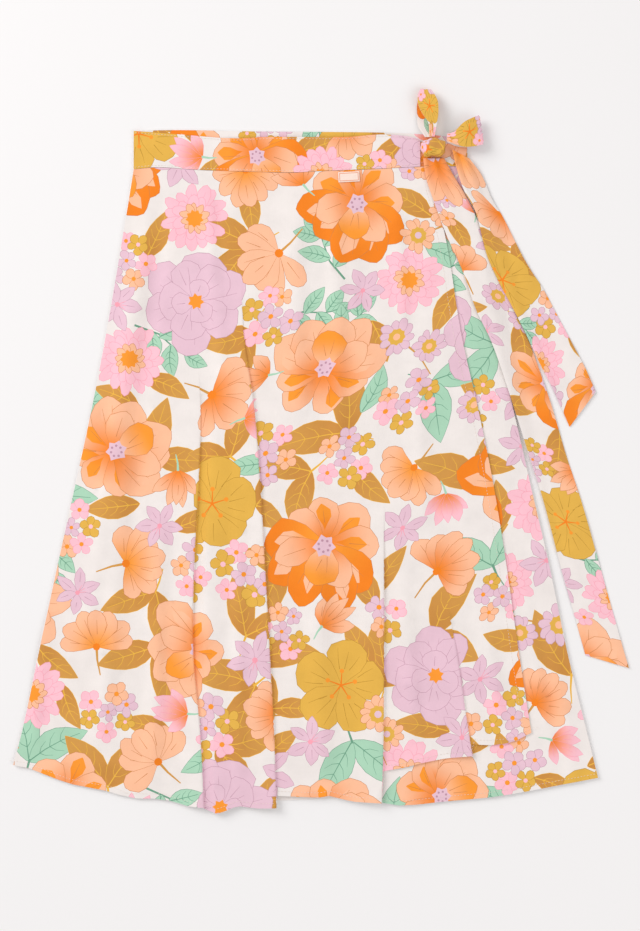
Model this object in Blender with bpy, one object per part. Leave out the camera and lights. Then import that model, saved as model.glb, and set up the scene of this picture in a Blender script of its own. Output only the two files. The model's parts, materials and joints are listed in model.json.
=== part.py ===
"""Wrap skirt with a tied waist, laid flat with its front up.

Lengths are in millimetres here and become metres when a mesh is made. X runs
across the skirt, Y from the hem up to the waist and Z up off the surface.
Heights up the skirt are measured from the lowest point of the hem.
"""
import math
from collections import namedtuple

import bpy
import bmesh
from mathutils import Vector

# Driving sizes
CLOTH = 1.2            # wall of one panel, seams and hem included
BAND = 1.4             # wall of the doubled waistband
TIE = 1.6              # wall of the doubled tie
LABEL = 1.0            # wall of the woven label
SEAM_GAP = 0.3         # clearance between pieces that touch
WAIST = 669.0          # height of the waist seam
OVERALL_LENGTH = 752.0 # hem to the top of the bow
LABEL_SIZE = (22.0, 10.5)
LABEL_PLACE = (29.0, 661.0)
LABEL_TURN = math.radians(3)
TENT_SLOPE = 0.3       # how steeply a tie comes down off an edge that it crosses
SIDE_CLEAR = 1.0       # how far past the skirt's side a tie starts to come down
TAIL_CLEAR = 4.0       # the same past the long tail's edge
CROSSING_GAP = 0.9     # clearance where one tail lies over the bends of the other
EDGE_WIDTH = 0.6       # width of a pleat's steep face, seen from above
OVERLAP_RISE = 18.0    # width over which the over front climbs onto the under front
OVERLAP_CLEAR = 26.0   # how far before the under front's edge it is up
MM = 0.001

# Layers, from the surface up
BACK_Z = 0.0
UNDER_Z = BACK_Z + CLOTH + SEAM_GAP
OVER_Z = UNDER_Z + CLOTH + SEAM_GAP
OVER_TOP = OVER_Z + CLOTH
UNDER_BAND_Z = BACK_Z + BAND + SEAM_GAP
OVER_BAND_Z = UNDER_BAND_Z + BAND + SEAM_GAP

# The lines down the skirt, a row for each section across it
Section = namedtuple("Section", "y left pleat_1 pleat_2 pleat_3 pleat_4 wrap right")
SECTIONS = (
    Section(669, -194.5, -150.0, -90.0, 55.0, 100.0, 112.0, 152.0),
    Section(592, -207.0, -140.0, -84.0, 58.0, 108.0, 130.5, 165.0),
    Section(496, -223.5, -131.0, -80.0, 61.0, 116.0, 146.0, 181.5),
    Section(421, -238.0, -125.0, -69.0, 63.0, 120.0, 163.0, 199.5),
    Section(342, -255.0, -127.0, -63.0, 65.0, 123.0, 179.0, 217.5),
    Section(258, -273.5, -131.5, -58.0, 65.5, 125.0, 192.5, 237.0),
    Section(167, -293.0, -132.5, -53.0, 65.5, 141.0, 205.5, 256.0),
    Section(81, -311.5, -125.0, -48.5, 65.0, 154.0, 219.0, 277.0),
    Section(0, -334.0, -121.0, -46.0, 63.0, 168.0, 233.0, 297.0),
)

# The pleats of the over front, each lying over the cloth on its right
Pleat = namedtuple("Pleat", "line starts grows height soft")
PLEATS = (
    Pleat("pleat_1", 470, 130, 3.0, 34),
    Pleat("pleat_2", 560, 150, 3.2, 38),
    Pleat("pleat_3", 330, 110, 3.4, 40),
    Pleat("pleat_4", 230, 110, 2.4, 30),
)
# Beside the first pleat the cloth comes up again in a second, lower ridge
RIDGE_OFFSET = 12.0
RIDGE_HEIGHT = 2.2
RIDGE_RISE = 5.0
RIDGE_FALL = 30.0

# The hem: a share of the way between two lines, and the height there
Hem = namedtuple("Hem", "share y")
OVER_BANDS = (
    ("left", "pleat_1", (Hem(0, 50), Hem(0.08, 47.5), Hem(0.31, 31), Hem(0.55, 22), Hem(0.62, 15.5),
                         Hem(0.8, 15.5), Hem(0.9, 8.5), Hem(1, 6))),
    ("pleat_1", "pleat_2", (Hem(0, 5), Hem(0.16, 0), Hem(0.28, 2.5), Hem(0.46, 8), Hem(0.72, 5.5),
                            Hem(1, 6))),
    ("pleat_2", "pleat_3", (Hem(0, 18.5), Hem(0.4, 16.5), Hem(0.5, 18.5), Hem(0.72, 12.5), Hem(1, 11))),
    ("pleat_3", "pleat_4", (Hem(0, 44), Hem(0.22, 47.5), Hem(0.45, 53), Hem(0.7, 57.5), Hem(1, 60))),
    ("pleat_4", "wrap", (Hem(0, 72), Hem(0.3, 71), Hem(0.54, 72.5), Hem(0.72, 75.5), Hem(1, 84))),
)
UNDER_HEM = (Hem(0, 30), Hem(0.3, 27), Hem(0.39, 20), Hem(0.425, 8), Hem(0.49, 8.5), Hem(0.58, 12.5),
             Hem(0.7, 16.5), Hem(0.79, 22), Hem(0.9, 30), Hem(1, 37))
BACK_HEM = (Hem(0, 50), Hem(0.1, 36), Hem(0.19, 24), Hem(0.32, 13), Hem(0.45, 13), Hem(0.6, 16),
            Hem(0.74, 17), Hem(0.86, 25), Hem(0.94, 33), Hem(1, 37))
# The under front reaches this far to the left, hidden below the over front
UNDER_LEFT_AT_WAIST = -60.0
UNDER_LEFT_AT_HEM = -100.0

# How finely each piece is divided. Shares run from 0 at one side to 1 at the other.
PANEL_ROWS = 16
PANEL_COLUMNS = 22
PLAIN_SHARES = (0, 0.14, 0.3, 0.46, 0.6, 0.72, 0.82, 0.9, 0.96, 1)
RIDGE_SHARES = (0, 0.1, 0.16, 0.24, 0.36, 0.5, 0.64, 0.78, 0.88, 0.96, 1)
BAND_SHARES_UP = (0, 0.12, 0.5, 0.88, 1)
LONG_BAND_COLUMNS = 30
SHORT_BAND_COLUMNS = 20
LOOP_COLUMNS = 4
SHARP_EDGE = math.radians(40)

# The waist seam and the top edges of the two bands: distance across, height
Edge = namedtuple("Edge", "x y")
SEAM_LINE = (Edge(-195, 669), Edge(-170, 671), Edge(-130, 668.5), Edge(-65, 666), Edge(-27, 665.5),
             Edge(1, 667), Edge(53, 669), Edge(112, 672))
FRONT_CROWN = (Edge(-195, 709), Edge(-161, 706.5), Edge(-137, 704.5), Edge(-89, 701), Edge(-54, 702.5),
               Edge(25, 702.5), Edge(62, 705), Edge(90, 703), Edge(103, 700))
BACK_CROWN = (Edge(-195, 709), Edge(-150, 710), Edge(-60, 708.5), Edge(79, 707), Edge(152, 702))
BAND_LEFT = -194.5
FRONT_BAND_RIGHT = 103.0
BAND_RIGHT = 152.0
UNDER_BAND_LEFT = -60.0
UNDER_BAND_DROP = 8.0  # the under front's band lies this much lower than the back's

# The tails of the tie: the two ends of each section across them
Across = namedtuple("Across", "left_x left_y right_x right_y")
LONG_TAIL = (
    Across(106, 680, 128, 680), Across(109, 660, 139, 660), Across(115.5, 640, 151, 640),
    Across(130.5, 600, 170, 600), Across(147.5, 562, 187, 562), Across(161, 523, 200.5, 523),
    Across(175.5, 493, 215, 493), Across(186, 465, 225.5, 465), Across(199.5, 424, 239.5, 424),
    Across(216, 372, 255, 372), Across(231, 325, 270.5, 325), Across(250, 253, 291, 253),
    Across(265, 200, 306, 200), Across(272, 175, 313, 175), Across(275, 164, 320, 151),
)
SHORT_TAIL = (
    Across(136, 689, 154, 680), Across(141, 668, 167, 663), Across(148.5, 646, 178, 638),
    Across(160, 625, 189, 620), Across(172, 580, 209, 580), Across(183.5, 554, 219, 563),
    Across(197, 529, 231, 545), Across(212, 500, 246, 517), Across(228, 466, 263, 485),
    Across(240, 443, 274.5, 463), Across(258.5, 401.5, 285.5, 438),
)
TAIL_COLUMNS = 6
TAIL_STEPS = 3         # sections added between two rows of a tail's table

# The bow's loops: the two edges of the tie where it bends round, with their height
Bend = namedtuple("Bend", "left_x left_y right_x right_y z")
UPRIGHT_LOOP = (
    Bend(108, 702, 115, 702, 6.5), Bend(101, 713, 115, 713, 4.5), Bend(99.5, 726, 117, 726, 3.0),
    Bend(100, 738, 119, 738, 2.4), Bend(102, 748, 116, 747, 4.0), Bend(103, 751.4, 114, 751, 7.5),
    Bend(101, 747, 117.5, 746, 11.0), Bend(100, 738, 121, 738, 12.4), Bend(104, 727, 121.5, 727, 12.4),
    Bend(111, 716, 120, 716, 11.6), Bend(112, 702, 117.5, 702, 10.5),
)
SIDE_LOOP = (
    Bend(130.5, 697, 130.5, 706, 6.5), Bend(139, 693, 138, 710, 6.0), Bend(150, 691.5, 148, 716, 6.0),
    Bend(161, 692.5, 158, 722, 6.4), Bend(168, 694, 163, 724, 7.6), Bend(169.4, 694.5, 164, 724.5, 9.6),
    Bend(168, 694, 163, 724, 11.6), Bend(160, 692, 156, 721, 12.8), Bend(149, 691, 147, 716, 12.6),
    Bend(139, 694, 138, 707, 11.6), Bend(130.5, 697, 130.5, 705, 10.8),
)
KNOT_CENTRE = (116.5, 690.6, 9.3)
KNOT_HALF = (13.2, 9.9, 5.8)
KNOT_SQUARENESS = 0.75  # 1 is an ellipsoid, less is boxier
KNOT_SEGMENTS = 20
KNOT_RINGS = 12

Finish = namedtuple("Finish", "colour roughness")
PRINTED = Finish((0.90, 0.82, 0.76), 0.75)
PRINTED_BAND = Finish((0.88, 0.72, 0.55), 0.75)
PRINTED_TIE = Finish((0.90, 0.55, 0.30), 0.7)
WOVEN_LABEL = Finish((0.93, 0.80, 0.72), 0.6)


def smooth(t):
    """0 to 1 with a soft start and a soft end."""
    t = min(max(t, 0.0), 1.0)
    return t * t * (3 - 2 * t)


def mix(a, b, share):
    return a + (b - a) * share


def through(rows, key, value, at):
    """A smooth curve through a table's rows, read at one key."""
    rows = sorted(rows, key=lambda row: getattr(row, key))
    keys = [getattr(row, key) for row in rows]
    values = [getattr(row, value) for row in rows]
    at = min(max(at, keys[0]), keys[-1])
    i = max(k for k in range(len(keys) - 1) if keys[k] <= at)
    span = keys[i + 1] - keys[i]

    def slope(k):
        low, high = max(k - 1, 0), min(k + 1, len(keys) - 1)
        return (values[high] - values[low]) / (keys[high] - keys[low])

    t = (at - keys[i]) / span
    start = (2 * t**3 - 3 * t**2 + 1) * values[i] + (t**3 - 2 * t**2 + t) * span * slope(i)
    end = (3 * t**2 - 2 * t**3) * values[i + 1] + (t**3 - t**2) * span * slope(i + 1)
    return start + end


def straight(rows, key, value, at):
    """Straight runs between a table's rows, read at one key."""
    at = min(max(at, getattr(rows[0], key)), getattr(rows[-1], key))
    for low, high in zip(rows, rows[1:]):
        if at <= getattr(high, key):
            share = (at - getattr(low, key)) / (getattr(high, key) - getattr(low, key))
            return mix(getattr(low, value), getattr(high, value), share)


def line(name, y):
    return through(SECTIONS, "y", name, y)


def seam(x):
    """Height of the waist seam across the skirt."""
    return through(SEAM_LINE, "x", "y", x)


def under_left(y):
    return mix(UNDER_LEFT_AT_HEM, UNDER_LEFT_AT_WAIST, y / WAIST)


def climb(beyond):
    """0 to 1 as a layer climbs onto the under front, whose edge is where beyond is 0."""
    return smooth((beyond + OVERLAP_CLEAR + OVERLAP_RISE) / OVERLAP_RISE)


def over_floor(x, y):
    """Underside of the over front: it comes down to the back panel at the left."""
    return mix(UNDER_Z, OVER_Z, climb(x - under_left(y)))


def pleat_height(pleat, y):
    return pleat.height * smooth((pleat.starts - y) / pleat.grows)


def over_lift(x, y, before_edge):
    """How far the over front stands off its flat place. before_edge names the pleat whose raised
    edge the point is on, or is None."""
    lift = 0.0
    for pleat in PLEATS:
        beside = line(pleat.line, y) - x
        if pleat.line == before_edge:
            beside = 0.0
        if 0.0 <= beside < pleat.soft:
            lift = max(lift, pleat_height(pleat, y) * smooth(1 - beside / pleat.soft))
    beyond = x - line("pleat_1", y) - RIDGE_OFFSET
    reach = RIDGE_RISE if beyond < 0 else RIDGE_FALL
    if abs(beyond) < reach:
        share = RIDGE_HEIGHT / PLEATS[0].height
        lift = max(lift, share * pleat_height(PLEATS[0], y) * smooth(1 - abs(beyond) / reach))
    return lift


def metres(x, y, z):
    """A point in metres, with the origin under the middle of the whole skirt."""
    return Vector((x * MM, (y - OVERALL_LENGTH / 2) * MM, z * MM))


def material(name, finish):
    made = bpy.data.materials.new(name)
    made.use_nodes = True
    shader = made.node_tree.nodes["Principled BSDF"]
    shader.inputs["Base Color"].default_value = (*finish.colour, 1)
    shader.inputs["Roughness"].default_value = finish.roughness
    shader.inputs["Metallic"].default_value = 0.0
    return made


def put_in_scene(name, bm, finish):
    """Make the object, with every face pointing out."""
    bmesh.ops.recalc_face_normals(bm, faces=bm.faces)
    mesh = bpy.data.meshes.new(name)
    bm.to_mesh(mesh)
    bm.free()
    mesh.shade_smooth()
    mesh.set_sharp_from_angle(angle=SHARP_EDGE)
    mesh.materials.append(material(name + "_cloth", finish))
    made = bpy.data.objects.new(name, mesh)
    bpy.context.collection.objects.link(made)
    return made


def wall(name, top, bottom, finish):
    """A closed wall of cloth between two grids of points of the same size."""
    bm = bmesh.new()
    rows, columns = len(top), len(top[0])
    upper = [[bm.verts.new(p) for p in row] for row in top]
    lower = [[bm.verts.new(p) for p in row] for row in bottom]
    for r in range(rows - 1):
        for c in range(columns - 1):
            bm.faces.new((upper[r][c], upper[r][c + 1], upper[r + 1][c + 1], upper[r + 1][c]))
            bm.faces.new((lower[r][c], lower[r + 1][c], lower[r + 1][c + 1], lower[r][c + 1]))
    rim = [(0, c) for c in range(columns)]
    rim += [(r, columns - 1) for r in range(1, rows)]
    rim += [(rows - 1, c) for c in range(columns - 2, -1, -1)]
    rim += [(r, 0) for r in range(rows - 2, 0, -1)]
    for (r, c), (s, d) in zip(rim, rim[1:] + rim[:1]):
        bm.faces.new((upper[r][c], upper[s][d], lower[s][d], lower[r][c]))
    return put_in_scene(name, bm, finish)


def over_front():
    """The over front: five stretches between the pleats, with a steep face at each pleat."""
    top, bottom = [], []
    for r in range(PANEL_ROWS + 1):
        down = r / PANEL_ROWS
        upper, lower = [], []
        for left, right, hem in OVER_BANDS:
            shares = RIDGE_SHARES if left == "pleat_1" else PLAIN_SHARES
            for share in shares:
                seam_x = mix(line(left, WAIST), line(right, WAIST), share)
                y = mix(seam(seam_x), straight(hem, "share", "y", share), down)
                x = mix(line(left, y), line(right, y), share)
                on_crest = right if share == 1 and right != "wrap" else None
                after_pleat = share == 0 and left != "left"
                if after_pleat:
                    x += EDGE_WIDTH
                lift = over_lift(x, y, on_crest)
                floor = over_floor(x, y)
                behind = CLOTH if on_crest or after_pleat else 0.0
                upper.append(metres(x, y, floor + lift + CLOTH))
                lower.append(metres(x - behind, y, floor + lift))
        top.append(upper)
        bottom.append(lower)
    return wall("over_front_panel", top, bottom, PRINTED)


def flat_panel(name, left_of, hem, z):
    """A panel with no pleats, from its left line to the right-hand side line."""
    top, bottom = [], []
    for r in range(PANEL_ROWS + 1):
        row = []
        for c in range(PANEL_COLUMNS + 1):
            share = c / PANEL_COLUMNS
            seam_x = mix(left_of(WAIST), line("right", WAIST), share)
            y = mix(seam(seam_x), straight(hem, "share", "y", share), r / PANEL_ROWS)
            row.append((mix(left_of(y), line("right", y), share), y))
        top.append([metres(x, y, z + CLOTH) for x, y in row])
        bottom.append([metres(x, y, z) for x, y in row])
    return wall(name, top, bottom, PRINTED)


def band(name, left, right, crown, floor_of, columns):
    """One layer of the waistband, from the waist seam up to its crown."""
    top, bottom = [], []
    for share_up in BAND_SHARES_UP:
        row = []
        for c in range(columns + 1):
            x = mix(left, right, c / columns)
            y = mix(seam(x) + SEAM_GAP, through(crown, "x", "y", x), share_up)
            row.append((x, y, floor_of(x)))
        top.append([metres(x, y, z + BAND) for x, y, z in row])
        bottom.append([metres(x, y, z) for x, y, z in row])
    return wall(name, top, bottom, PRINTED_BAND)


def waistbands():
    def front_floor(x):
        return mix(UNDER_BAND_Z, OVER_BAND_Z, climb(x - UNDER_BAND_LEFT))

    under_crown = [Edge(row.x, row.y - UNDER_BAND_DROP) for row in BACK_CROWN]
    band("waistband_back", BAND_LEFT, BAND_RIGHT, BACK_CROWN, lambda x: BACK_Z, LONG_BAND_COLUMNS)
    band("waistband_under", UNDER_BAND_LEFT, BAND_RIGHT, under_crown, lambda x: UNDER_BAND_Z,
         SHORT_BAND_COLUMNS)
    band("waistband_front", BAND_LEFT, FRONT_BAND_RIGHT, FRONT_CROWN, front_floor, LONG_BAND_COLUMNS)


def resting_height(x, y):
    """Height that the long tail's underside needs to clear the skirt, coming down past its side."""
    side = x - line("right", y)
    return max(0.0, OVER_TOP + SEAM_GAP - TENT_SLOPE * max(0.0, side - SIDE_CLEAR))


def long_tail_right(y):
    rows = [Edge(row.right_x, row.right_y) for row in reversed(LONG_TAIL)]
    return straight(rows, "y", "x", y)


def height_on_long_tail(x, y):
    """The same for the short tail, which also crosses the long one."""
    edge = long_tail_right(y)
    tie_top = resting_height(min(x, edge), y) + TIE + CROSSING_GAP
    return max(resting_height(x, y), tie_top - TENT_SLOPE * max(0.0, x - edge - TAIL_CLEAR))


def tail(name, table, floor_of):
    """A tail of the tie: sections across it, laid over what is below."""
    sections = []
    for first, second in zip(table, table[1:]):
        for step in range(TAIL_STEPS):
            share = step / TAIL_STEPS
            sections.append(Across(*[mix(a, b, share) for a, b in zip(first, second)]))
    sections.append(table[-1])
    top, bottom = [], []
    for section in sections:
        upper, lower = [], []
        for c in range(TAIL_COLUMNS + 1):
            share = c / TAIL_COLUMNS
            x = mix(section.left_x, section.right_x, share)
            y = mix(section.left_y, section.right_y, share)
            z = floor_of(x, y)
            upper.append(metres(x, y, z + TIE))
            lower.append(metres(x, y, z))
        top.append(upper)
        bottom.append(lower)
    return wall(name, top, bottom, PRINTED_TIE)


def loop(name, table):
    """A loop of the bow: the tie bent round on itself, with its hollow open at both sides."""
    shares = [c / LOOP_COLUMNS for c in range(LOOP_COLUMNS + 1)]
    middles = [[Vector((mix(b.left_x, b.right_x, share), mix(b.left_y, b.right_y, share), b.z))
                for share in shares] for b in table]
    top, bottom = [], []
    for r, row in enumerate(middles):
        before, after = middles[max(r - 1, 0)], middles[min(r + 1, len(middles) - 1)]
        upper, lower = [], []
        for c, point in enumerate(row):
            along = after[c] - before[c]
            across = row[-1] - row[0]
            normal = along.cross(across).normalized()
            outer = point + normal * CLOTH / 2
            inner = point - normal * CLOTH / 2
            upper.append(metres(*outer))
            lower.append(metres(*inner))
        top.append(upper)
        bottom.append(lower)
    return wall(name, top, bottom, PRINTED_TIE)


def knot():
    """The knot: a rounded pad of tie, squarer than an ellipsoid."""
    bm = bmesh.new()
    bmesh.ops.create_uvsphere(bm, u_segments=KNOT_SEGMENTS, v_segments=KNOT_RINGS, radius=1.0)
    for vert in bm.verts:
        point = [math.copysign(abs(value) ** KNOT_SQUARENESS, value) if abs(value) > 1e-6 else 0.0
                 for value in vert.co]
        vert.co = metres(*[centre + half * value
                           for centre, half, value in zip(KNOT_CENTRE, KNOT_HALF, point)])
    return put_in_scene("bow_knot", bm, PRINTED_TIE)


def label():
    """The small label, flat on the over front with its top in the waist seam."""
    top, bottom = [], []
    for up in (0.5, -0.5):
        upper, lower = [], []
        for across in (-0.5, 0, 0.5):
            dx, dy = across * LABEL_SIZE[0], up * LABEL_SIZE[1]
            x = LABEL_PLACE[0] + dx * math.cos(LABEL_TURN) - dy * math.sin(LABEL_TURN)
            y = LABEL_PLACE[1] + dx * math.sin(LABEL_TURN) + dy * math.cos(LABEL_TURN)
            upper.append(metres(x, y, OVER_TOP + SEAM_GAP + LABEL))
            lower.append(metres(x, y, OVER_TOP + SEAM_GAP))
        top.append(upper)
        bottom.append(lower)
    return wall("label", top, bottom, WOVEN_LABEL)


def main():
    for old in list(bpy.data.objects):
        bpy.data.objects.remove(old, do_unlink=True)
    flat_panel("back_panel", lambda y: line("left", y), BACK_HEM, BACK_Z)
    flat_panel("under_front_panel", under_left, UNDER_HEM, UNDER_Z)
    over_front()
    waistbands()
    tail("tie_tail_long", LONG_TAIL, resting_height)
    tail("tie_tail_short", SHORT_TAIL, height_on_long_tail)
    loop("bow_loop_upright", UPRIGHT_LOOP)
    loop("bow_loop_side", SIDE_LOOP)
    knot()
    label()


main()
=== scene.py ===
# %% [markdown]
# # A printed wrap skirt, laid flat
# The real object is a flared wrap skirt in light printed viscose. Its two fronts overlap, a doubled
# waistband closes it and a narrow tie ends in a bow. Everything is cloth, so this lesson makes thin
# sheets, gives them soft folds, and then draws the flowers of the print as real coloured patches.
# Lengths are in millimetres, X across the skirt, Y up from the lowest hem and Z up off the floor.

import json
import math
import random
from bisect import bisect_right
from collections import defaultdict, namedtuple

import bpy
from mathutils import Vector
from mathutils.geometry import delaunay_2d_cdt
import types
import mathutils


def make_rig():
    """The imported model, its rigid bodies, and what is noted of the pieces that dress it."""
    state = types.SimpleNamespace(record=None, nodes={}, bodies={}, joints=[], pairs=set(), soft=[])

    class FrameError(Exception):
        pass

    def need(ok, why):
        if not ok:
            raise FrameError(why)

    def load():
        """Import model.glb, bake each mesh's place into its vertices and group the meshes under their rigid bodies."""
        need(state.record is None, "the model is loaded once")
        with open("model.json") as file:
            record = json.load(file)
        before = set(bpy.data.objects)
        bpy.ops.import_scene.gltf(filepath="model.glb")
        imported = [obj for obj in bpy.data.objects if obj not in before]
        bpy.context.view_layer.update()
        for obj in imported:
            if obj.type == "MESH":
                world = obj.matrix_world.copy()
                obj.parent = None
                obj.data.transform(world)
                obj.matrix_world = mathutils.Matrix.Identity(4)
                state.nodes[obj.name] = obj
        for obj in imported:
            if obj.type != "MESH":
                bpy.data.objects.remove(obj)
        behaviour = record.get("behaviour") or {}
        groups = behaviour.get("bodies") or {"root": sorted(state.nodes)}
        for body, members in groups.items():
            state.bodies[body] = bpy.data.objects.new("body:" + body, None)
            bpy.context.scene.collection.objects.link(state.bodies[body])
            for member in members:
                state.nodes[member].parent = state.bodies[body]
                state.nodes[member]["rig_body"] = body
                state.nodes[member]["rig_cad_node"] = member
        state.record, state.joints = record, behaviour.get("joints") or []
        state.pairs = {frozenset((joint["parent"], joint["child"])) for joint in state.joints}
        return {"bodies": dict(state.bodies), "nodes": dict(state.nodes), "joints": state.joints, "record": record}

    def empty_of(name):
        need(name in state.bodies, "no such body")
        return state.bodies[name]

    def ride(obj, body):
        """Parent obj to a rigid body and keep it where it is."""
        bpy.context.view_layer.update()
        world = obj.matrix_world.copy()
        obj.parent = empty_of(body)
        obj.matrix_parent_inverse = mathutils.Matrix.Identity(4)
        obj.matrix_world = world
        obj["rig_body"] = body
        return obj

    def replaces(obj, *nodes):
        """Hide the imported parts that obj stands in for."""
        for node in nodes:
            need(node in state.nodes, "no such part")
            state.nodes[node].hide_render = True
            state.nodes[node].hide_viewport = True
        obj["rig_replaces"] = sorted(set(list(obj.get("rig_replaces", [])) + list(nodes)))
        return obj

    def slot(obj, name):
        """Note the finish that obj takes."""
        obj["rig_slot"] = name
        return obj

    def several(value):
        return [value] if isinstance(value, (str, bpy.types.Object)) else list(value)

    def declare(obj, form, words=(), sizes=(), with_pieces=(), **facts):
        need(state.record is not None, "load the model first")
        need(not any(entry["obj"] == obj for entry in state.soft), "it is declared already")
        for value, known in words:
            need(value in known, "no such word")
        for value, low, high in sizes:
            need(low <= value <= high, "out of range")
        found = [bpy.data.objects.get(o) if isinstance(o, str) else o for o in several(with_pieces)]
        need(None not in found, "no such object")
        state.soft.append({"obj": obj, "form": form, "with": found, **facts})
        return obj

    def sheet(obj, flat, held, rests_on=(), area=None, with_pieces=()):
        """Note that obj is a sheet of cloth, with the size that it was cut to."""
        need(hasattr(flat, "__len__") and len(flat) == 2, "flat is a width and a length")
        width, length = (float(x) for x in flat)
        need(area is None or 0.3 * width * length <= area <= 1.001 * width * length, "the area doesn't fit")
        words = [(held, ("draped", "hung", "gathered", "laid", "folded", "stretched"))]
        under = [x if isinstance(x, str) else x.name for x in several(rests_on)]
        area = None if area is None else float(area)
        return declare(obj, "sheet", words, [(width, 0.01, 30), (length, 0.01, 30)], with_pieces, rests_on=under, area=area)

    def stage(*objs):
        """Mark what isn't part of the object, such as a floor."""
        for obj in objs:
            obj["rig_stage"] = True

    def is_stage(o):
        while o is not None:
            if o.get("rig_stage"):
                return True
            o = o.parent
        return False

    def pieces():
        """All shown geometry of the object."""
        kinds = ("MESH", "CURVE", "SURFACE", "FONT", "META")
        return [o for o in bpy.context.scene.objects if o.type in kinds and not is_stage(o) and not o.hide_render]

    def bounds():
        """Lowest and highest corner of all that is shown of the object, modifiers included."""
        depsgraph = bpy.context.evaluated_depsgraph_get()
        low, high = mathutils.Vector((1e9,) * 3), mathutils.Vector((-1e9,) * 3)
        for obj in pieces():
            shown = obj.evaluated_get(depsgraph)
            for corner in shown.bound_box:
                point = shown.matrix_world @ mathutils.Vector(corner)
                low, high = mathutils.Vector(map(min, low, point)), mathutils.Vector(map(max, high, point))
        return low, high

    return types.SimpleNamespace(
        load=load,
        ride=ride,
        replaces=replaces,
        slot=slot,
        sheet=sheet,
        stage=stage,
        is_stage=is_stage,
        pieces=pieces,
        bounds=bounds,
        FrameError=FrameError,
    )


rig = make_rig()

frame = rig.load()
cad_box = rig.bounds()
print("skirt's box, metres:", [round(high - low, 4) for low, high in zip(*cad_box)])

# %% [markdown]
# ## The sizes of the skirt
# The folds and hems of the sheets have to lie on the solid parts, so the lines down the skirt are
# the same short tables that the solids are worked out from. A reader function bends a smooth curve
# through the rows. It could be a Blender curve, but a function can be asked for any height.

# %% Layers and sizes
MM = 0.001             # a millimetre in metres
CLOTH = 1.2            # walls of the solid parts: a panel, the waistband, the tie and the label
BAND = 1.4
TIE = 1.6
LABEL = 1.0
SEAM_GAP = 0.3         # room between one layer and the next
WAIST = 669.0          # height of the waist seam
OVERALL_LENGTH = 752.0
TENT_SLOPE = 0.3       # how steeply the tie comes down beside the skirt
SIDE_CLEAR = 1.0       # how far past the skirt's side it starts to come down
TAIL_CLEAR = 4.0       # the same for the short tail, past the long one
CROSSING_GAP = 0.9     # room between the tails where they cross
EDGE_WIDTH = 0.6       # how far the step in the hem leans, at each pleat
OVERLAP_RISE = 18.0    # width over which a layer climbs onto the one below
OVERLAP_CLEAR = 26.0   # how far short of that layer's edge the climb is over
UNDER_Z = CLOTH + SEAM_GAP
OVER_Z = UNDER_Z + CLOTH + SEAM_GAP
OVER_TOP = OVER_Z + CLOTH
UNDER_BAND_Z = BAND + SEAM_GAP
OVER_BAND_Z = UNDER_BAND_Z + BAND + SEAM_GAP
THIN = 0.7             # wall of a single sheet as drawn
DOUBLED = 1.0          # wall of the doubled waistband and tie as drawn

Section = namedtuple("Section", "y left pleat_1 pleat_2 pleat_3 pleat_4 wrap right")
SECTIONS = (
    Section(669, -194.5, -150.0, -90.0, 55.0, 100.0, 112.0, 152.0),
    Section(592, -207.0, -140.0, -84.0, 58.0, 108.0, 130.5, 165.0),
    Section(496, -223.5, -131.0, -80.0, 61.0, 116.0, 146.0, 181.5),
    Section(421, -238.0, -125.0, -69.0, 63.0, 120.0, 163.0, 199.5),
    Section(342, -255.0, -127.0, -63.0, 65.0, 123.0, 179.0, 217.5),
    Section(258, -273.5, -131.5, -58.0, 65.5, 125.0, 192.5, 237.0),
    Section(167, -293.0, -132.5, -53.0, 65.5, 141.0, 205.5, 256.0),
    Section(81, -311.5, -125.0, -48.5, 65.0, 154.0, 219.0, 277.0),
    Section(0, -334.0, -121.0, -46.0, 63.0, 168.0, 233.0, 297.0),
)
Pleat = namedtuple("Pleat", "line starts grows height soft")
PLEATS = (
    Pleat("pleat_1", 470, 130, 3.0, 34),
    Pleat("pleat_2", 560, 150, 3.2, 38),
    Pleat("pleat_3", 330, 110, 3.4, 40),
    Pleat("pleat_4", 230, 110, 2.4, 30),
)
RIDGE_OFFSET = 12.0    # a second, lower ridge runs this far beside the first pleat
RIDGE_HEIGHT = 2.2
RIDGE_RISE = 5.0
RIDGE_FALL = 30.0

Hem = namedtuple("Hem", "share y")
OVER_BANDS = (
    ("left", "pleat_1", (Hem(0, 50), Hem(0.08, 47.5), Hem(0.31, 31), Hem(0.55, 22), Hem(0.62, 15.5),
                         Hem(0.8, 15.5), Hem(0.9, 8.5), Hem(1, 6))),
    ("pleat_1", "pleat_2", (Hem(0, 5), Hem(0.16, 0), Hem(0.28, 2.5), Hem(0.46, 8), Hem(0.72, 5.5),
                            Hem(1, 6))),
    ("pleat_2", "pleat_3", (Hem(0, 18.5), Hem(0.4, 16.5), Hem(0.5, 18.5), Hem(0.72, 12.5), Hem(1, 11))),
    ("pleat_3", "pleat_4", (Hem(0, 44), Hem(0.22, 47.5), Hem(0.45, 53), Hem(0.7, 57.5), Hem(1, 60))),
    ("pleat_4", "wrap", (Hem(0, 72), Hem(0.3, 71), Hem(0.54, 72.5), Hem(0.72, 75.5), Hem(1, 84))),
)
UNDER_HEM = (Hem(0, 30), Hem(0.3, 27), Hem(0.39, 20), Hem(0.425, 8), Hem(0.49, 8.5), Hem(0.58, 12.5),
             Hem(0.7, 16.5), Hem(0.79, 22), Hem(0.9, 30), Hem(1, 37))
BACK_HEM = (Hem(0, 50), Hem(0.1, 36), Hem(0.19, 24), Hem(0.32, 13), Hem(0.45, 13), Hem(0.6, 16),
            Hem(0.74, 17), Hem(0.86, 25), Hem(0.94, 33), Hem(1, 37))
UNDER_LEFT_AT_WAIST = -60.0
UNDER_LEFT_AT_HEM = -100.0

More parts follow.
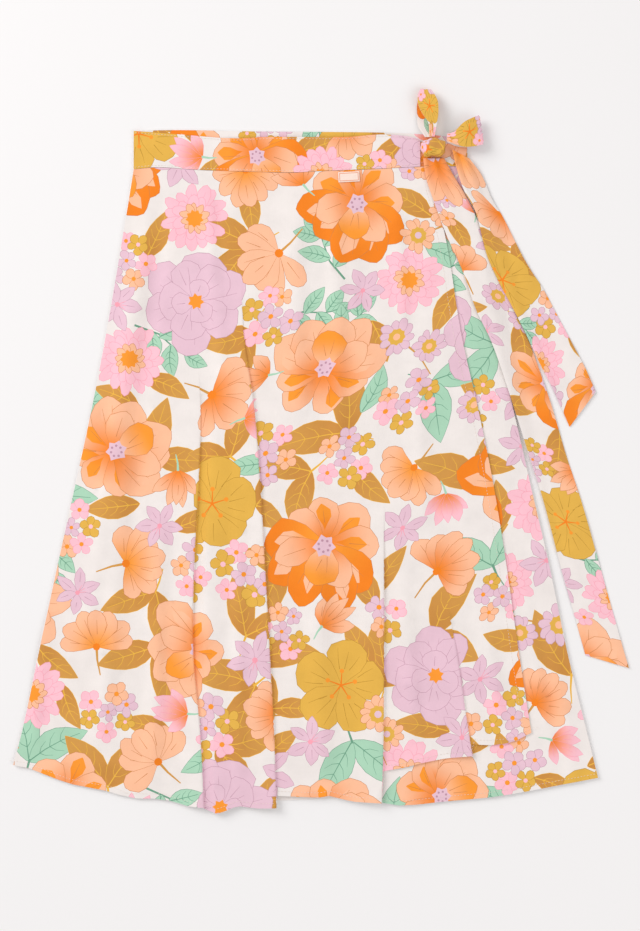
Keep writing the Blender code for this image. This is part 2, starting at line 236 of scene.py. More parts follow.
Edge = namedtuple("Edge", "x y")
SEAM_LINE = (Edge(-195, 669), Edge(-170, 671), Edge(-130, 668.5), Edge(-65, 666), Edge(-27, 665.5),
             Edge(1, 667), Edge(53, 669), Edge(112, 672))
FRONT_CROWN = (Edge(-195, 709), Edge(-161, 706.5), Edge(-137, 704.5), Edge(-89, 701), Edge(-54, 702.5),
               Edge(25, 702.5), Edge(62, 705), Edge(90, 703), Edge(103, 700))
BACK_CROWN = (Edge(-195, 709), Edge(-150, 710), Edge(-60, 708.5), Edge(79, 707), Edge(152, 702))
WAIST_ENDS = (-190.0, 108.0)    # the over front's waist seam, short of its two corners
BAND_LEFT = -194.5
FRONT_BAND_RIGHT = 103.0
BAND_RIGHT = 152.0
UNDER_BAND_LEFT = -60.0
UNDER_BAND_DROP = 8.0  # how far the hidden band's top lies below the back's
print("the over front lies from", round(OVER_Z, 1), "to", round(OVER_TOP, 1), "mm up")

# %% Reading the tables
def smooth(t):
    t = min(max(t, 0.0), 1.0)
    return t * t * (3 - 2 * t)


def mix(a, b, share):
    return a + (b - a) * share


def curve_through(rows, key, value):
    """A function that reads a smooth curve through a table's rows."""
    rows = sorted(rows, key=lambda row: getattr(row, key))
    keys = [getattr(row, key) for row in rows]
    values = [getattr(row, value) for row in rows]
    last = len(keys) - 1
    slopes = []
    for k in range(last + 1):
        low, high = max(k - 1, 0), min(k + 1, last)
        slopes.append((values[high] - values[low]) / (keys[high] - keys[low]))

    def read(at):
        at = min(max(at, keys[0]), keys[last])
        i = min(bisect_right(keys, at), last) - 1
        span = keys[i + 1] - keys[i]
        t = (at - keys[i]) / span
        start = (2 * t**3 - 3 * t**2 + 1) * values[i] + (t**3 - 2 * t**2 + t) * span * slopes[i]
        end = (3 * t**2 - 2 * t**3) * values[i + 1] + (t**3 - t**2) * span * slopes[i + 1]
        return start + end

    return read


def straight(rows, key, value, at):
    """Straight runs between a table's rows, read at one key."""
    at = min(max(at, getattr(rows[0], key)), getattr(rows[-1], key))
    for low, high in zip(rows, rows[1:]):
        if at <= getattr(high, key):
            share = (at - getattr(low, key)) / (getattr(high, key) - getattr(low, key))
            return mix(getattr(low, value), getattr(high, value), share)


LINES = {name: curve_through(SECTIONS, "y", name) for name in Section._fields[1:]}
seam = curve_through(SEAM_LINE, "x", "y")


def under_left(y):
    return mix(UNDER_LEFT_AT_HEM, UNDER_LEFT_AT_WAIST, y / WAIST)


def climb(beyond):
    return smooth((beyond + OVERLAP_CLEAR + OVERLAP_RISE) / OVERLAP_RISE)


def metres(x, y, z):
    return Vector((x * MM, (y - OVERALL_LENGTH / 2) * MM, z * MM))


print("hem is", round(LINES["right"](0) - LINES["left"](0)), "mm wide, waist",
      round(LINES["right"](WAIST) - LINES["left"](WAIST)), "mm")

# %% [markdown]
# ## The colours of the print
# The cloth is an off-white viscose, printed with flat watercolour inks: orange and peach, pink,
# lilac, mint, mustard and an ochre brown with gold veins. Each ink is one named colour, given as it
# is seen on a screen, and one function turns it to the linear light that the renderer adds up.

# %% Inks
def paint(code):
    """A screen colour such as F5EEEA, as linear red, green and blue."""
    shares = [int(code[i:i + 2], 16) / 255 for i in (0, 2, 4)]
    return tuple(s / 12.92 if s <= 0.04045 else ((s + 0.055) / 1.055) ** 2.4 for s in shares)


GROUND = paint("F0E8E4")
WRONG_SIDE = paint("F3EAE6")
ORANGE = paint("FD9A2C")
DEEP_ORANGE = paint("F68314")
PEACH = paint("FEC09A")
PINK = paint("FEC3D0")
ROSE = paint("F9A3B4")
LILAC = paint("E9C3D2")
MAUVE = paint("C295A8")
MINT = paint("ACD6BA")
PINE = paint("6FA287")
MUSTARD = paint("E6B34A")
OLIVE = paint("B98A2C")
OCHRE = paint("D69B4A")
BROWN = paint("CC8C40")
GOLD = paint("F0B944")
SIENNA = paint("CC7E45")
Ink = namedtuple("Ink", "root tip line")
INKS = {
    "orange": Ink(ORANGE, DEEP_ORANGE, SIENNA),
    "flame": Ink(DEEP_ORANGE, PEACH, SIENNA),
    "glow": Ink(PEACH, ORANGE, SIENNA),
    "peach": Ink(ORANGE, PEACH, SIENNA),
    "soft peach": Ink(PEACH, PEACH, SIENNA),
    "pink": Ink(PINK, PINK, ROSE),
    "lilac": Ink(LILAC, LILAC, MAUVE),
    "sunset": Ink(DEEP_ORANGE, PINK, ROSE),
    "mustard": Ink(MUSTARD, MUSTARD, OLIVE),
    "mint": Ink(MINT, MINT, PINE),
    "ochre": Ink(BROWN, OCHRE, GOLD),
}
print(len(INKS), "inks")

# %% [markdown]
# ## A brush for the print
# A printed flower could be a picture wrapped on the cloth, or a pattern of noise nodes. Here each
# petal is a closed outline in millimetres on the cloth, so its edge stays sharp at any distance. A
# patch holds the outline and the two inks that it fades between, from one point to another. On a
# pleated piece it also holds the band, between two pleats, that it shows in.

# %% The brush
Patch = namedtuple("Patch", "points near far start end band")
LINE = 0.45            # half the width of a drawn line, drawn a little coarse so that it shows


def petal_edge(length, width, fullness, point, steps, bend=0.0, waver=()):
    """Both edges of a petal that grows up from 0, 0. More fullness moves its widest place up, a
    larger point makes its tip sharper, and waver holds a share for each place that its edge strays."""
    right, left = [], []
    for i in range(1, steps):
        up = (1 - math.cos(math.pi * i / steps)) / 2
        half = width / 2 * math.sin(math.pi * up ** fullness) ** point
        middle = bend * math.sin(math.pi * up)
        stray = waver[2 * i - 2:2 * i] or (0.0, 0.0)
        right.append((middle + half * (1 + stray[0]), up * length))
        left.append((middle - half * (1 + stray[1]), up * length))
    return [(0.0, 0.0), *right, (0.0, length), *reversed(left)]


class Brush:
    """Draws one motif at its own place, turn and size. Its unit is the motif's radius."""

    def __init__(self, sheet, x, y, turn, size, chance):
        self.sheet = sheet
        self.x, self.y = x, y
        self.turn = math.radians(turn)
        self.size = size
        self.chance = chance

    def at(self, across, up):
        cos, sin = math.cos(self.turn), math.sin(self.turn)
        return (self.x + self.size * (across * cos - up * sin),
                self.y + self.size * (across * sin + up * cos))

    def fill(self, points, near, far, start=(0, 0), end=(0, 1)):
        self.sheet.append(Patch([self.at(*p) for p in points], near, far, self.at(*start), self.at(*end), 0))

    def disc(self, radius, ink, across=0.0, up=0.0, points=9, ruffle=0.0):
        """A spot, with a ruffled edge if asked."""
        edge = []
        for i in range(points):
            angle = math.tau * i / points
            reach = radius * (1 + ruffle * (1 if i % 2 else -1))
            edge.append((across + reach * math.cos(angle), up + reach * math.sin(angle)))
        self.fill(edge, ink, ink)

    def stroke(self, points, half, ink):
        """A line that tapers to its far end. half is half its width in millimetres."""
        half /= self.size
        right, left = [], []
        last = len(points) - 1
        for i, (across, up) in enumerate(points):
            before, after = points[max(i - 1, 0)], points[min(i + 1, last)]
            along = math.hypot(after[0] - before[0], after[1] - before[1]) or 1.0
            side = half * (1 - 0.6 * i / last)
            dx, dy = (after[1] - before[1]) / along * side, (before[0] - after[0]) / along * side
            right.append((across + dx, up + dy))
            left.append((across - dx, up - dy))
        self.fill(right + left[::-1], ink, ink)

    def petal(self, angle, length, width, ink, fullness=1.4, point=0.7, root=(0.0, 0.0), lines=1, steps=7,
              wash=None):
        """One petal, with its drawn edge and its lines, and a streak of a second ink where wash names it."""
        angle = math.radians(angle + self.chance.uniform(-6, 6))
        length *= self.chance.uniform(0.88, 1.06)
        width *= self.chance.uniform(0.88, 1.12)
        waver = [self.chance.uniform(-0.09, 0.07) for _ in range(2 * steps - 2)]
        cos, sin = math.cos(angle), math.sin(angle)
        edge = LINE / self.size

        def turned(p):
            return (root[0] + p[0] * cos - p[1] * sin, root[1] + p[0] * sin + p[1] * cos)

        bend = self.chance.uniform(-0.07, 0.07) * length
        outer = petal_edge(length + 2 * edge, width + 2 * edge, fullness, point, steps, bend, waver)
        self.fill([turned((x, y - edge)) for x, y in outer], ink.line, ink.line)
        inner = petal_edge(length, width, fullness, point, steps, bend, waver)
        self.fill([turned(p) for p in inner], ink.root, ink.tip, turned((0, 0)), turned((0, length)))
        if wash:
            aside, low = self.chance.uniform(-0.14, 0.14) * width, self.chance.uniform(0.14, 0.3) * length
            streak = petal_edge(length * 0.62, width * self.chance.uniform(0.3, 0.5), fullness, 1.1, 6, bend)
            self.fill([turned((x + aside, y + low)) for x, y in streak], ink.root, wash,
                      turned((0, low)), turned((0, low + length * 0.5)))
        for k in range(lines):
            aside = (k - (lines - 1) / 2) * width * 0.24
            start, stop = self.chance.uniform(0.3, 0.45), self.chance.uniform(0.66, 0.84)
            route = [(aside * 0.5 + bend, start * length), (aside * 0.9 + bend, (start + stop) / 2 * length),
                     (aside * 1.2 + bend, stop * length)]
            self.stroke([turned(p) for p in route], LINE * 0.7, ink.line)

    def ring(self, count, length, width, ink, first=0.0, **shape):
        for i in range(count):
            self.petal(first + 360 * i / count, length, width, ink, **shape)


print("a petal's outline has", len(petal_edge(1, 1, 1, 1, steps=7)), "points")

# %% [markdown]
# ## The flowers and leaves
# The print mixes about a dozen kinds of motif: wide magnolias, peonies, gerberas, daisies with a
# ring, star lilies, small blossoms in clusters, leaves and sprigs. Each kind is a short function of
# its own that lays petals in rings or fans, so no two come out the same.

# %% Wide flowers
def magnolia(brush, tint):
    ink = INKS[tint]
    for angle in (152, -150, 106, -104):
        brush.petal(angle, 0.74, 0.54, INKS["flame"], fullness=1.6, point=0.6, lines=1, wash=ORANGE)
    for angle in (-66, 64, -33, 35, 0):
        brush.petal(angle, 1.0, 0.62, ink, fullness=1.5, point=0.68, lines=2, steps=8, wash=PEACH)
    for angle in (-50, 48):
        brush.petal(angle, 0.78, 0.48, INKS["flame"], fullness=1.5, point=0.7, lines=1)
    brush.petal(9, 0.7, 0.52, INKS["glow"], fullness=1.5, point=0.7, lines=2)
    brush.disc(0.15, LILAC, 0, 0.06, points=13, ruffle=0.16)
    for i in range(7):
        angle = math.tau * i / 7
        brush.disc(0.022, MAUVE, 0.085 * math.cos(angle), 0.06 + 0.085 * math.sin(angle), points=5)


def peony(brush, tint):
    ink = INKS[tint]
    brush.ring(6, 1.0, 0.78, ink, first=20, fullness=1.7, point=0.55, lines=2)
    brush.ring(5, 0.74, 0.66, ink, first=50, fullness=1.6, point=0.6, lines=2)
    brush.ring(3, 0.46, 0.42, ink, first=10, fullness=1.4, point=0.6, lines=1)
    brush.disc(0.13, ORANGE, 0.02, 0.0, points=14, ruffle=0.2)


def wide_bloom(brush, tint):
    ink = INKS[tint]
    brush.ring(5, 1.0, 0.92, ink, first=12, fullness=1.6, point=0.55, lines=3)
    for i in range(5):
        angle = math.tau * (i + 0.5) / 5
        tip = (0.3 * math.cos(angle), 0.3 * math.sin(angle))
        brush.stroke([(0, 0), tip], 0.9, DEEP_ORANGE)
        brush.disc(0.05, ORANGE, *tip, points=6)


def gerbera(brush, tint):
    ink = INKS[tint]
    brush.ring(15, 1.0, 0.36, ink, fullness=1.7, point=0.5, lines=1, steps=6)
    brush.ring(11, 0.7, 0.32, ink, first=9, fullness=1.6, point=0.5, lines=0, steps=6)
    brush.ring(11, 0.46, 0.22, INKS["soft peach"], first=3, lines=0, steps=5)
    brush.disc(0.24, ORANGE, points=18, ruffle=0.14)


def fan_flower(brush, tint):
    ink = INKS[tint]
    for angle in (84, -84, 54, -54, 27, -27, 0):
        brush.petal(angle, 1.0, 0.5, ink, fullness=1.8, point=0.55, lines=1)
    brush.stroke([(0, 0.05), (0.02, -0.35), (0.1, -0.75)], 1.5, OCHRE)
    brush.disc(0.1, DEEP_ORANGE, points=8)


# %% Small flowers
def daisy(brush, tint):
    ink = INKS[tint]
    brush.ring(10, 1.0, 0.46, ink, fullness=1.8, point=0.5, lines=0, steps=6)
    brush.disc(0.44, MUSTARD, points=18, ruffle=0.08)
    brush.disc(0.19, LILAC if tint != "lilac" else PEACH, points=9)


def daisy_pair(brush, tint):
    brush.stroke([(-0.4, 0.35), (0.1, -0.4), (0.35, -1.1)], 1.2, OCHRE)
    size, x, y = brush.size, brush.x, brush.y
    for across, up, share in ((-0.45, 0.42, 0.56), (0.42, -0.22, 0.5)):
        place = brush.at(across, up)
        brush.x, brush.y, brush.size = *place, size * share
        daisy(brush, tint)
        brush.x, brush.y, brush.size = x, y, size


def blossom(brush, tint):
    brush.ring(5, 1.0, 0.74, INKS[tint], fullness=1.5, point=0.55, lines=0, steps=5)
    brush.disc(0.2, ORANGE if tint != "mustard" else PINK, points=7)


def star_lily(brush, tint):
    brush.ring(6, 1.0, 0.46, INKS[tint], fullness=1.15, point=0.9, lines=1, steps=6)
    brush.disc(0.1, ROSE, points=6)
    for angle in (70, 95, 122):
        reach = math.radians(angle)
        brush.stroke([(0, 0), (0.36 * math.cos(reach), 0.36 * math.sin(reach))], 0.45, ROSE)


def crocus(brush, tint):
    ink = INKS[tint]
    for angle in (-48, 46, -16, 18, 0):
        length = 1.45 if abs(angle) < 30 else 1.2
        brush.petal(angle, length, 0.5, ink, fullness=1.2, point=0.9, root=(0, -0.6), lines=1)
    brush.stroke([(0, -0.55), (0.04, -0.85), (0.14, -1.15)], 1.3, MINT)


def blossom_cluster(brush, tint):
    size, x, y = brush.size, brush.x, brush.y
    mixed = ("pink", "mustard", "lilac", "soft peach", "pink", "mustard", "lilac")
    for i, kind in enumerate(mixed):
        angle = math.tau * i / 6 + brush.chance.uniform(-0.25, 0.25)
        reach = 0.0 if i == 6 else 0.62
        place = brush.at(reach * math.cos(angle), reach * math.sin(angle))
        brush.x, brush.y, brush.size = *place, size * brush.chance.uniform(0.3, 0.4)
        blossom(brush, kind)
        brush.x, brush.y, brush.size = x, y, size


# %% Leaves
def leaf(brush, tint, root=(0.0, -1.0), angle=0.0, length=2.0, width=0.85):
    """A pointed leaf with a midrib and pairs of veins."""
    ink = INKS[tint]
    turn = math.radians(angle)
    cos, sin = math.cos(turn), math.sin(turn)
    bend = brush.chance.uniform(-0.09, 0.09) * length
    edge = LINE * 1.2 / brush.size

    def turned(p):
        return (root[0] + p[0] * cos - p[1] * sin, root[1] + p[0] * sin + p[1] * cos)

    outer = petal_edge(length + 2 * edge, width + 2 * edge, 0.85, 0.9, 9, bend)
    brush.fill([turned((x, y - edge)) for x, y in outer], ink.line, ink.line)
    inner = petal_edge(length, width, 0.85, 0.9, 9, bend)
    brush.fill([turned(p) for p in inner], ink.root, ink.tip, turned((0, 0)), turned((0, length)))

    def rib(up):
        return (bend * math.sin(math.pi * up), up * length)

    brush.stroke([turned(rib(up)) for up in (0.03, 0.3, 0.6, 0.88)], LINE * 1.3, ink.line)
    for up in (0.2, 0.38, 0.56):
        half = width / 2 * math.sin(math.pi * up ** 0.85) ** 0.9
        across, height = rib(up)
        for side in (-1, 1):
            tip = (across + side * half * 0.74, height + 0.17 * length)
            middle = (across + side * half * 0.42, height + 0.06 * length)
            brush.stroke([turned(p) for p in ((across, height), middle, tip)], LINE * 0.8, ink.line)


def leaf_pair(brush, tint):
    leaf(brush, tint, root=(0, -0.5), angle=38, length=1.5, width=0.66)
    leaf(brush, tint, root=(0, -0.5), angle=-42, length=1.4, width=0.62)
    brush.stroke([(0, -0.45), (0.03, -0.75), (0.1, -1.05)], 1.3, GOLD if tint == "ochre" else PINE)


def sprig(brush, tint):
    ink = INKS[tint]
    brush.stroke([(0.1, -1.0), (-0.05, -0.4), (0.03, 0.2), (0.0, 0.7)], 1.1, ink.line)
    for up, side, length in ((-0.6, 1, 0.8), (-0.35, -1, 0.85), (0.0, 1, 0.78), (0.25, -1, 0.7)):
        leaf(brush, tint, root=(0.0, up), angle=-side * 52, length=length, width=0.42)
    leaf(brush, tint, root=(0, 0.4), angle=6, length=0.62, width=0.34)


# %% [markdown]
# ## Laying out the print
# A printed cloth has no gaps as large as its largest flower. The wide flowers go down first, then
# the middle ones, then small ones and leaves where there is still room. Each tries many places and
# takes the roomiest. The dice are seeded, so the same cloth comes out every time.

# %% Scatter
# draw: the motif's function, radius in mm, every: cloth in square mm for each one, crowding: how far
# it may tuck under its neighbours (1 just touches), tints: the inks it comes in
Kind = namedtuple("Kind", "draw radius every crowding tints")
WIDE = (
    Kind(magnolia, 66, 33000, 0.74, ("orange", "flame")),
    Kind(peony, 54, 115000, 0.76, ("lilac",)),
    Kind(wide_bloom, 46, 115000, 0.78, ("mustard",)),
    Kind(fan_flower, 43, 42000, 0.74, ("flame", "peach", "soft peach")),
    Kind(gerbera, 38, 80000, 0.8, ("pink",)),
    Kind(blossom_cluster, 36, 25000, 0.76, ("pink",)),
    Kind(daisy_pair, 38, 42000, 0.76, ("lilac", "soft peach")),
    Kind(star_lily, 29, 19000, 0.76, ("lilac",)),
    Kind(crocus, 27, 24000, 0.76, ("sunset", "flame")),
)
LEAVES = (
    Kind(leaf_pair, 48, 14500, 0.44, ("ochre", "ochre", "ochre", "mint")),
    Kind(sprig, 40, 68000, 0.5, ("mint",)),
    Kind(leaf, 27, 12500, 0.56, ("ochre", "ochre", "ochre", "mint")),
)
FILLING = (
    Kind(blossom, 14, 8200, 0.86, ("pink", "mustard", "lilac", "soft peach")),
)
TRIES = 60             # places tried for each motif


def scatter(kinds, box, placed, sheet, chance, scale=1.0):
    """Place motifs of these kinds over the box and draw them on the sheet."""
    left, low, right, high = box
    area = (right - left) * (high - low)
    for kind in kinds:
        count = max(1, round(area / (kind.every * scale * scale)))
        for i in range(count):
            size = kind.radius * scale * chance.uniform(0.88, 1.1)
            best, best_room = None, 0.0
            for _ in range(TRIES):
                x, y = chance.uniform(left, right), chance.uniform(low, high)
                room = min((math.hypot(x - px, y - py) - kind.crowding * (size + reach)
                            for px, py, reach in placed), default=size)
                if room > best_room:
                    best, best_room = (x, y), room
            if best is None:
                continue
            placed.append((*best, size))
            tint = kind.tints[i % len(kind.tints)]
            kind.draw(Brush(sheet, *best, chance.uniform(-180, 180), size, chance), tint)


SHORT_LINE = 6         # points in the outline of a petal's line, a leaf's vein or a smallest dot


def printed_design(box, seed, scale=1.0, fine_lines=True):
    """The patches of a stretch of print, lowest first."""
    chance = random.Random(seed)
    flowers, greenery, placed = [], [], []
    scatter(WIDE, box, placed, flowers, chance, scale)
    scatter(LEAVES, box, placed, greenery, chance, scale)
    scatter(FILLING, box, placed, flowers, chance, scale)
    patches = greenery + flowers
    if fine_lines:
        return patches
    return [patch for patch in patches if len(patch.points) != SHORT_LINE]


print(sum(len(kinds) for kinds in (WIDE, LEAVES, FILLING)), "kinds of motif")


# %% [markdown]
# ## From a flat cut to a sheet of cloth
# Cloth could be a grid with a texture. Here the flat cut, its fold lines and every petal go into one
# triangulation, which splits the cut along all of them. Each small face takes the ink of the topmost
# petal on it. The same flat points are then lifted to the folded shape and given a back and a rim.

# %% Triangulate and lift
ROW_STEP = 0.87        # the height of a row of even triangles, as a share of their side
WELD = 1e-4            # flat points nearer to each other than this, in mm, become one
FACES_INSIDE = 1       # the triangulation's name for keeping only the faces inside an outline
FADE = 1.15            # above 1, a petal reaches its far ink a little before its tip
SHARP_EDGE = math.radians(50)


def grid_points(outline, spacing):
    xs, ys = [p[0] for p in outline], [p[1] for p in outline]
    points, row, y = [], 0, min(ys) + spacing / 2
    while y < max(ys):
        x = min(xs) + (spacing if row % 2 else spacing / 2)
        while x < max(xs):
            points.append((x, y))
            x += spacing
        y += spacing * ROW_STEP
        row += 1
    return points


def triangulate(outline, lines, spacing, patches=(), borders=((), ())):
    """Flat points and faces inside the outline, the patches on each face, and each point's sources.
    borders are more edges to keep: their points, and pairs of numbers of those."""
    points, edges, faces = [], [], []
    for shape in (outline, *[patch.points for patch in patches]):
        faces.append(list(range(len(points), len(points) + len(shape))))
        points.extend(shape)
    for route in lines:
        first = len(points)
        points.extend(route)
        edges.extend((i, i + 1) for i in range(first, len(points) - 1))
    spots, pairs = borders
    edges.extend((len(points) + a, len(points) + b) for a, b in pairs)
    points.extend(spots)
    points.extend(grid_points(outline, spacing))
    found = delaunay_2d_cdt([Vector(p) for p in points], edges, faces,
                             FACES_INSIDE, WELD, True)
    flat = [(p.x, p.y) for p in found[0]]
    kept, owners = [], []
    for face, origin in zip(found[2], found[5]):
        if 0 in origin:
            kept.append(tuple(face))
            owners.append(sorted((k - 1 for k in origin if k), reverse=True))
    return flat, kept, owners, found[3]


def topmost(flat, faces, owners, patches, belongs):
    """The number of the patch that shows on each face, or None where the cloth is bare."""
    found = []
    for face, ids in zip(faces, owners):
        middle = tuple(sum(flat[i][k] for i in face) / 3 for k in (0, 1))
        found.append(next((k for k in ids if belongs is None or belongs(patches[k], middle)), None))
    return found


def shown_borders(flat, faces, tops):
    """The edges where what shows changes from one face to the next: their points, and the pairs."""
    beside = defaultdict(list)
    for face, top in zip(faces, tops):
        for a, b in zip(face, face[1:] + face[:1]):
            beside[min(a, b), max(a, b)].append(top)
    pairs = [pair for pair, both in beside.items() if len(both) == 2 and both[0] != both[1]]
    used = sorted({i for pair in pairs for i in pair})
    new = {old: k for k, old in enumerate(used)}
    return [flat[i] for i in used], [(new[a], new[b]) for a, b in pairs]


def holds(shape, x, y):
    """Whether a point lies inside an outline."""
    inside = False
    for (ax, ay), (bx, by) in zip(shape, shape[1:] + shape[:1]):
        if (ay > y) != (by > y) and x < ax + (y - ay) / (by - ay) * (bx - ax):
            inside = not inside
    return inside


SQUARE = 12.0          # side of the squares of cloth that patches are looked up by


def patches_over(flat, faces, patches):
    """The patches on each face, topmost first, found by where the face's middle lies."""
    near = defaultdict(list)
    for k in reversed(range(len(patches))):
        xs, ys = zip(*patches[k].points)
        box = (min(xs), max(xs), min(ys), max(ys))
        for column in range(int(box[0] // SQUARE), int(box[1] // SQUARE) + 1):
            for row in range(int(box[2] // SQUARE), int(box[3] // SQUARE) + 1):
                near[column, row].append((k, box))
    owners = []
    for face in faces:
        x, y = (sum(flat[i][k] for i in face) / 3 for k in (0, 1))
        owners.append([k for k, (left, right, low, high) in near[x // SQUARE, y // SQUARE]
                       if left <= x <= right and low <= y <= high and holds(patches[k].points, x, y)])
    return owners


def ink_at(patch, point):
    """The patch's ink at a point, between its two ends."""
    run = (patch.end[0] - patch.start[0], patch.end[1] - patch.start[1])
    length = run[0] ** 2 + run[1] ** 2 or 1.0
    share = ((point[0] - patch.start[0]) * run[0] + (point[1] - patch.start[1]) * run[1]) / length
    share = smooth(share * FADE)
    return tuple(mix(a, b, share) for a, b in zip(patch.near, patch.far))


def rim_of(faces):
    """The edges with a face on one side only, in their face's direction."""
    seen = {}
    for face in faces:
        for a, b in zip(face, face[1:] + face[:1]):
            if (b, a) in seen:
                del seen[b, a]
            else:
                seen[a, b] = True
    return list(seen)


def cloth_sheet(name, outline, surface, patches, material, lines=(), spacing=6.0, back_spacing=9.0,
                belongs=None, both_sides=False, turned=False):
    """A closed thin sheet. surface(u, v, side) gives a point in metres on side 0, which is printed, or
    side 1. belongs(patch, point) tells whether a patch shows at a point. turned swaps the sides."""
    flat, faces, owners, _ = triangulate(outline, lines, spacing, patches)
    tops = topmost(flat, faces, owners, patches, belongs)
    # the second time along only the edges that show, so fewer faces are split
    flat, faces, _, _ = triangulate(outline, lines, spacing, borders=shown_borders(flat, faces, tops))
    tops = topmost(flat, faces, patches_over(flat, faces, patches), patches, belongs)
    rim = rim_of(faces)
    colours = [[GROUND] * 3 if top is None else [ink_at(patches[top], flat[i]) for i in face]
               for face, top in zip(faces, tops)]
    used = sorted({i for face in faces for i in face})
    new = {old: k for k, old in enumerate(used)}
    verts = [surface(*flat[i], 0) for i in used]
    shown = [tuple(new[i] for i in face) for face in faces]
    low = {}
    if both_sides:
        low = {i: len(verts) + new[i] for i in used}
        verts += [surface(*flat[i], 1) for i in used]
        behind = [tuple(low[i] for i in reversed(face)) for face in faces]
        behind_colours = [list(reversed(inks)) for inks in colours]
    else:
        after = dict(rim)
        loop, at = [], rim[0][0]
        while True:
            loop.append(at)
            at = after[at]
            if at == loop[0]:
                break
        back_flat, back_faces, _, sources = triangulate([flat[i] for i in loop], lines, back_spacing, ())
        offset = len(verts)
        verts += [surface(*p, 1) for p in back_flat]
        for k, source in enumerate(sources):
            low.update((loop[i], offset + k) for i in source if i < len(loop))
        behind = [tuple(offset + i for i in reversed(face)) for face in back_faces]
        behind_colours = [[WRONG_SIDE] * 3 for _ in behind]
    walls = [(new[b], new[a], low[a], low[b]) for a, b in rim]
    every = shown + behind + walls
    inks = colours + behind_colours + [[GROUND] * 4 for _ in walls]
    if turned:
        every = [tuple(reversed(face)) for face in every]
        inks = [list(reversed(four)) for four in inks]
    mesh = bpy.data.meshes.new(name)
    mesh.from_pydata(verts, [], every)
    layer = mesh.color_attributes.new("print", "BYTE_COLOR", "CORNER")
    layer.data.foreach_set("color", [value for corners in inks for ink in corners for value in (*ink, 1.0)])
    mesh.shade_smooth()
    mesh.set_sharp_from_angle(angle=SHARP_EDGE)
    mesh.materials.append(material)
    made = bpy.data.objects.new(name, mesh)
    bpy.context.collection.objects.link(made)
    triangles = sum(len(face) - 2 for face in every)
    print(f"{name}: {triangles} triangles, {len(patches)} patches, {len(rim)} rim edges")
    return made


# %% [markdown]
# ## The cloth's finish
# Printed viscose is a fine plain weave with a soft, slightly cool sheen and no gloss. The ink sinks
# in, so the colour varies a little as a watercolour does. The thread count is far too fine to show,
# so the weave is drawn as a coarse, faint slub in the bump instead.

# %% Materials
def add_node(tree, kind, links=(), **settings):
    """Add a node, set its settings and sockets, and link its inputs."""
    made = tree.nodes.new(kind)
    for name, value in settings.items():
        if name in made.bl_rna.properties:
            setattr(made, name, value)
        else:
            made.inputs[name.replace("_", " ")].default_value = value
    for socket, source in links:
        tree.links.new(source, made.inputs[socket])
    return made


SLUB = 2.4             # spacing of the drawn slubs, in mm; the real threads are about 0.3 mm apart
WASH = 26.0            # size of the soft clouds in the ink, in mm


def printed_viscose(name, roughness, relief):
    """Matt woven cloth in the colours of the print. A little sheen gives the eye its soft bloom, slow
    clouds make the ink uneven as watercolour is, and a faint slub both ways reads as a weave."""
    made = bpy.data.materials.new(name)
    made.use_nodes = True
    tree = made.node_tree
    shader = tree.nodes["Principled BSDF"]
    shader.inputs["Roughness"].default_value = roughness
    shader.inputs["Sheen Weight"].default_value = 0.12
    shader.inputs["Sheen Roughness"].default_value = 0.5
    shader.inputs["Specular IOR Level"].default_value = 0.3
    place = add_node(tree, "ShaderNodeTexCoord")
    ink = add_node(tree, "ShaderNodeVertexColor", layer_name="print")
    cloud = add_node(tree, "ShaderNodeTexNoise", [("Vector", place.outputs["Object"])],
                     Scale=1 / (WASH * MM), Detail=4.0, Roughness=0.6)
    shade = add_node(tree, "ShaderNodeMapRange", [("Value", cloud.outputs["Fac"])])
    shade.inputs["From Min"].default_value = 0.3
    shade.inputs["From Max"].default_value = 0.7
    shade.inputs["To Min"].default_value = 0.95
    shade.inputs["To Max"].default_value = 1.03
    tone = add_node(tree, "ShaderNodeVectorMath", [(0, ink.outputs["Color"])], operation="SCALE")
    tree.links.new(shade.outputs["Result"], tone.inputs["Scale"])
    tree.links.new(tone.outputs["Vector"], shader.inputs["Base Color"])
    heights = []
    for stretch in ((1.0, 0.12, 1.0), (0.12, 1.0, 1.0)):
        lay = add_node(tree, "ShaderNodeMapping", [("Vector", place.outputs["Object"])], Scale=stretch)
        slub = add_node(tree, "ShaderNodeTexNoise", [("Vector", lay.outputs["Vector"])],
                        Scale=1 / (SLUB * MM), Detail=2.0)
        heights.append(slub.outputs["Fac"])
    both = add_node(tree, "ShaderNodeMath", [(0, heights[0]), (1, heights[1])], operation="ADD")
    bump = add_node(tree, "ShaderNodeBump", [("Height", both.outputs["Value"])], Strength=relief,
                    Distance=0.3 * MM)
    tree.links.new(bump.outputs["Normal"], shader.inputs["Normal"])
    return made


# The panels are soft and matt. The band is stiffer and flatter, so its weave shows less. The tie is
# pressed double, so it catches a little more light.
PANEL_CLOTH = printed_viscose("printed_viscose_plain_weave", 0.78, 0.35)
BAND_CLOTH = printed_viscose("printed_viscose_on_fused_interlining", 0.8, 0.3)
TIE_CLOTH = printed_viscose("printed_viscose_doubled_and_pressed", 0.74, 0.35)
print("cloths:", [cloth.name for cloth in (PANEL_CLOTH, BAND_CLOTH, TIE_CLOTH)])
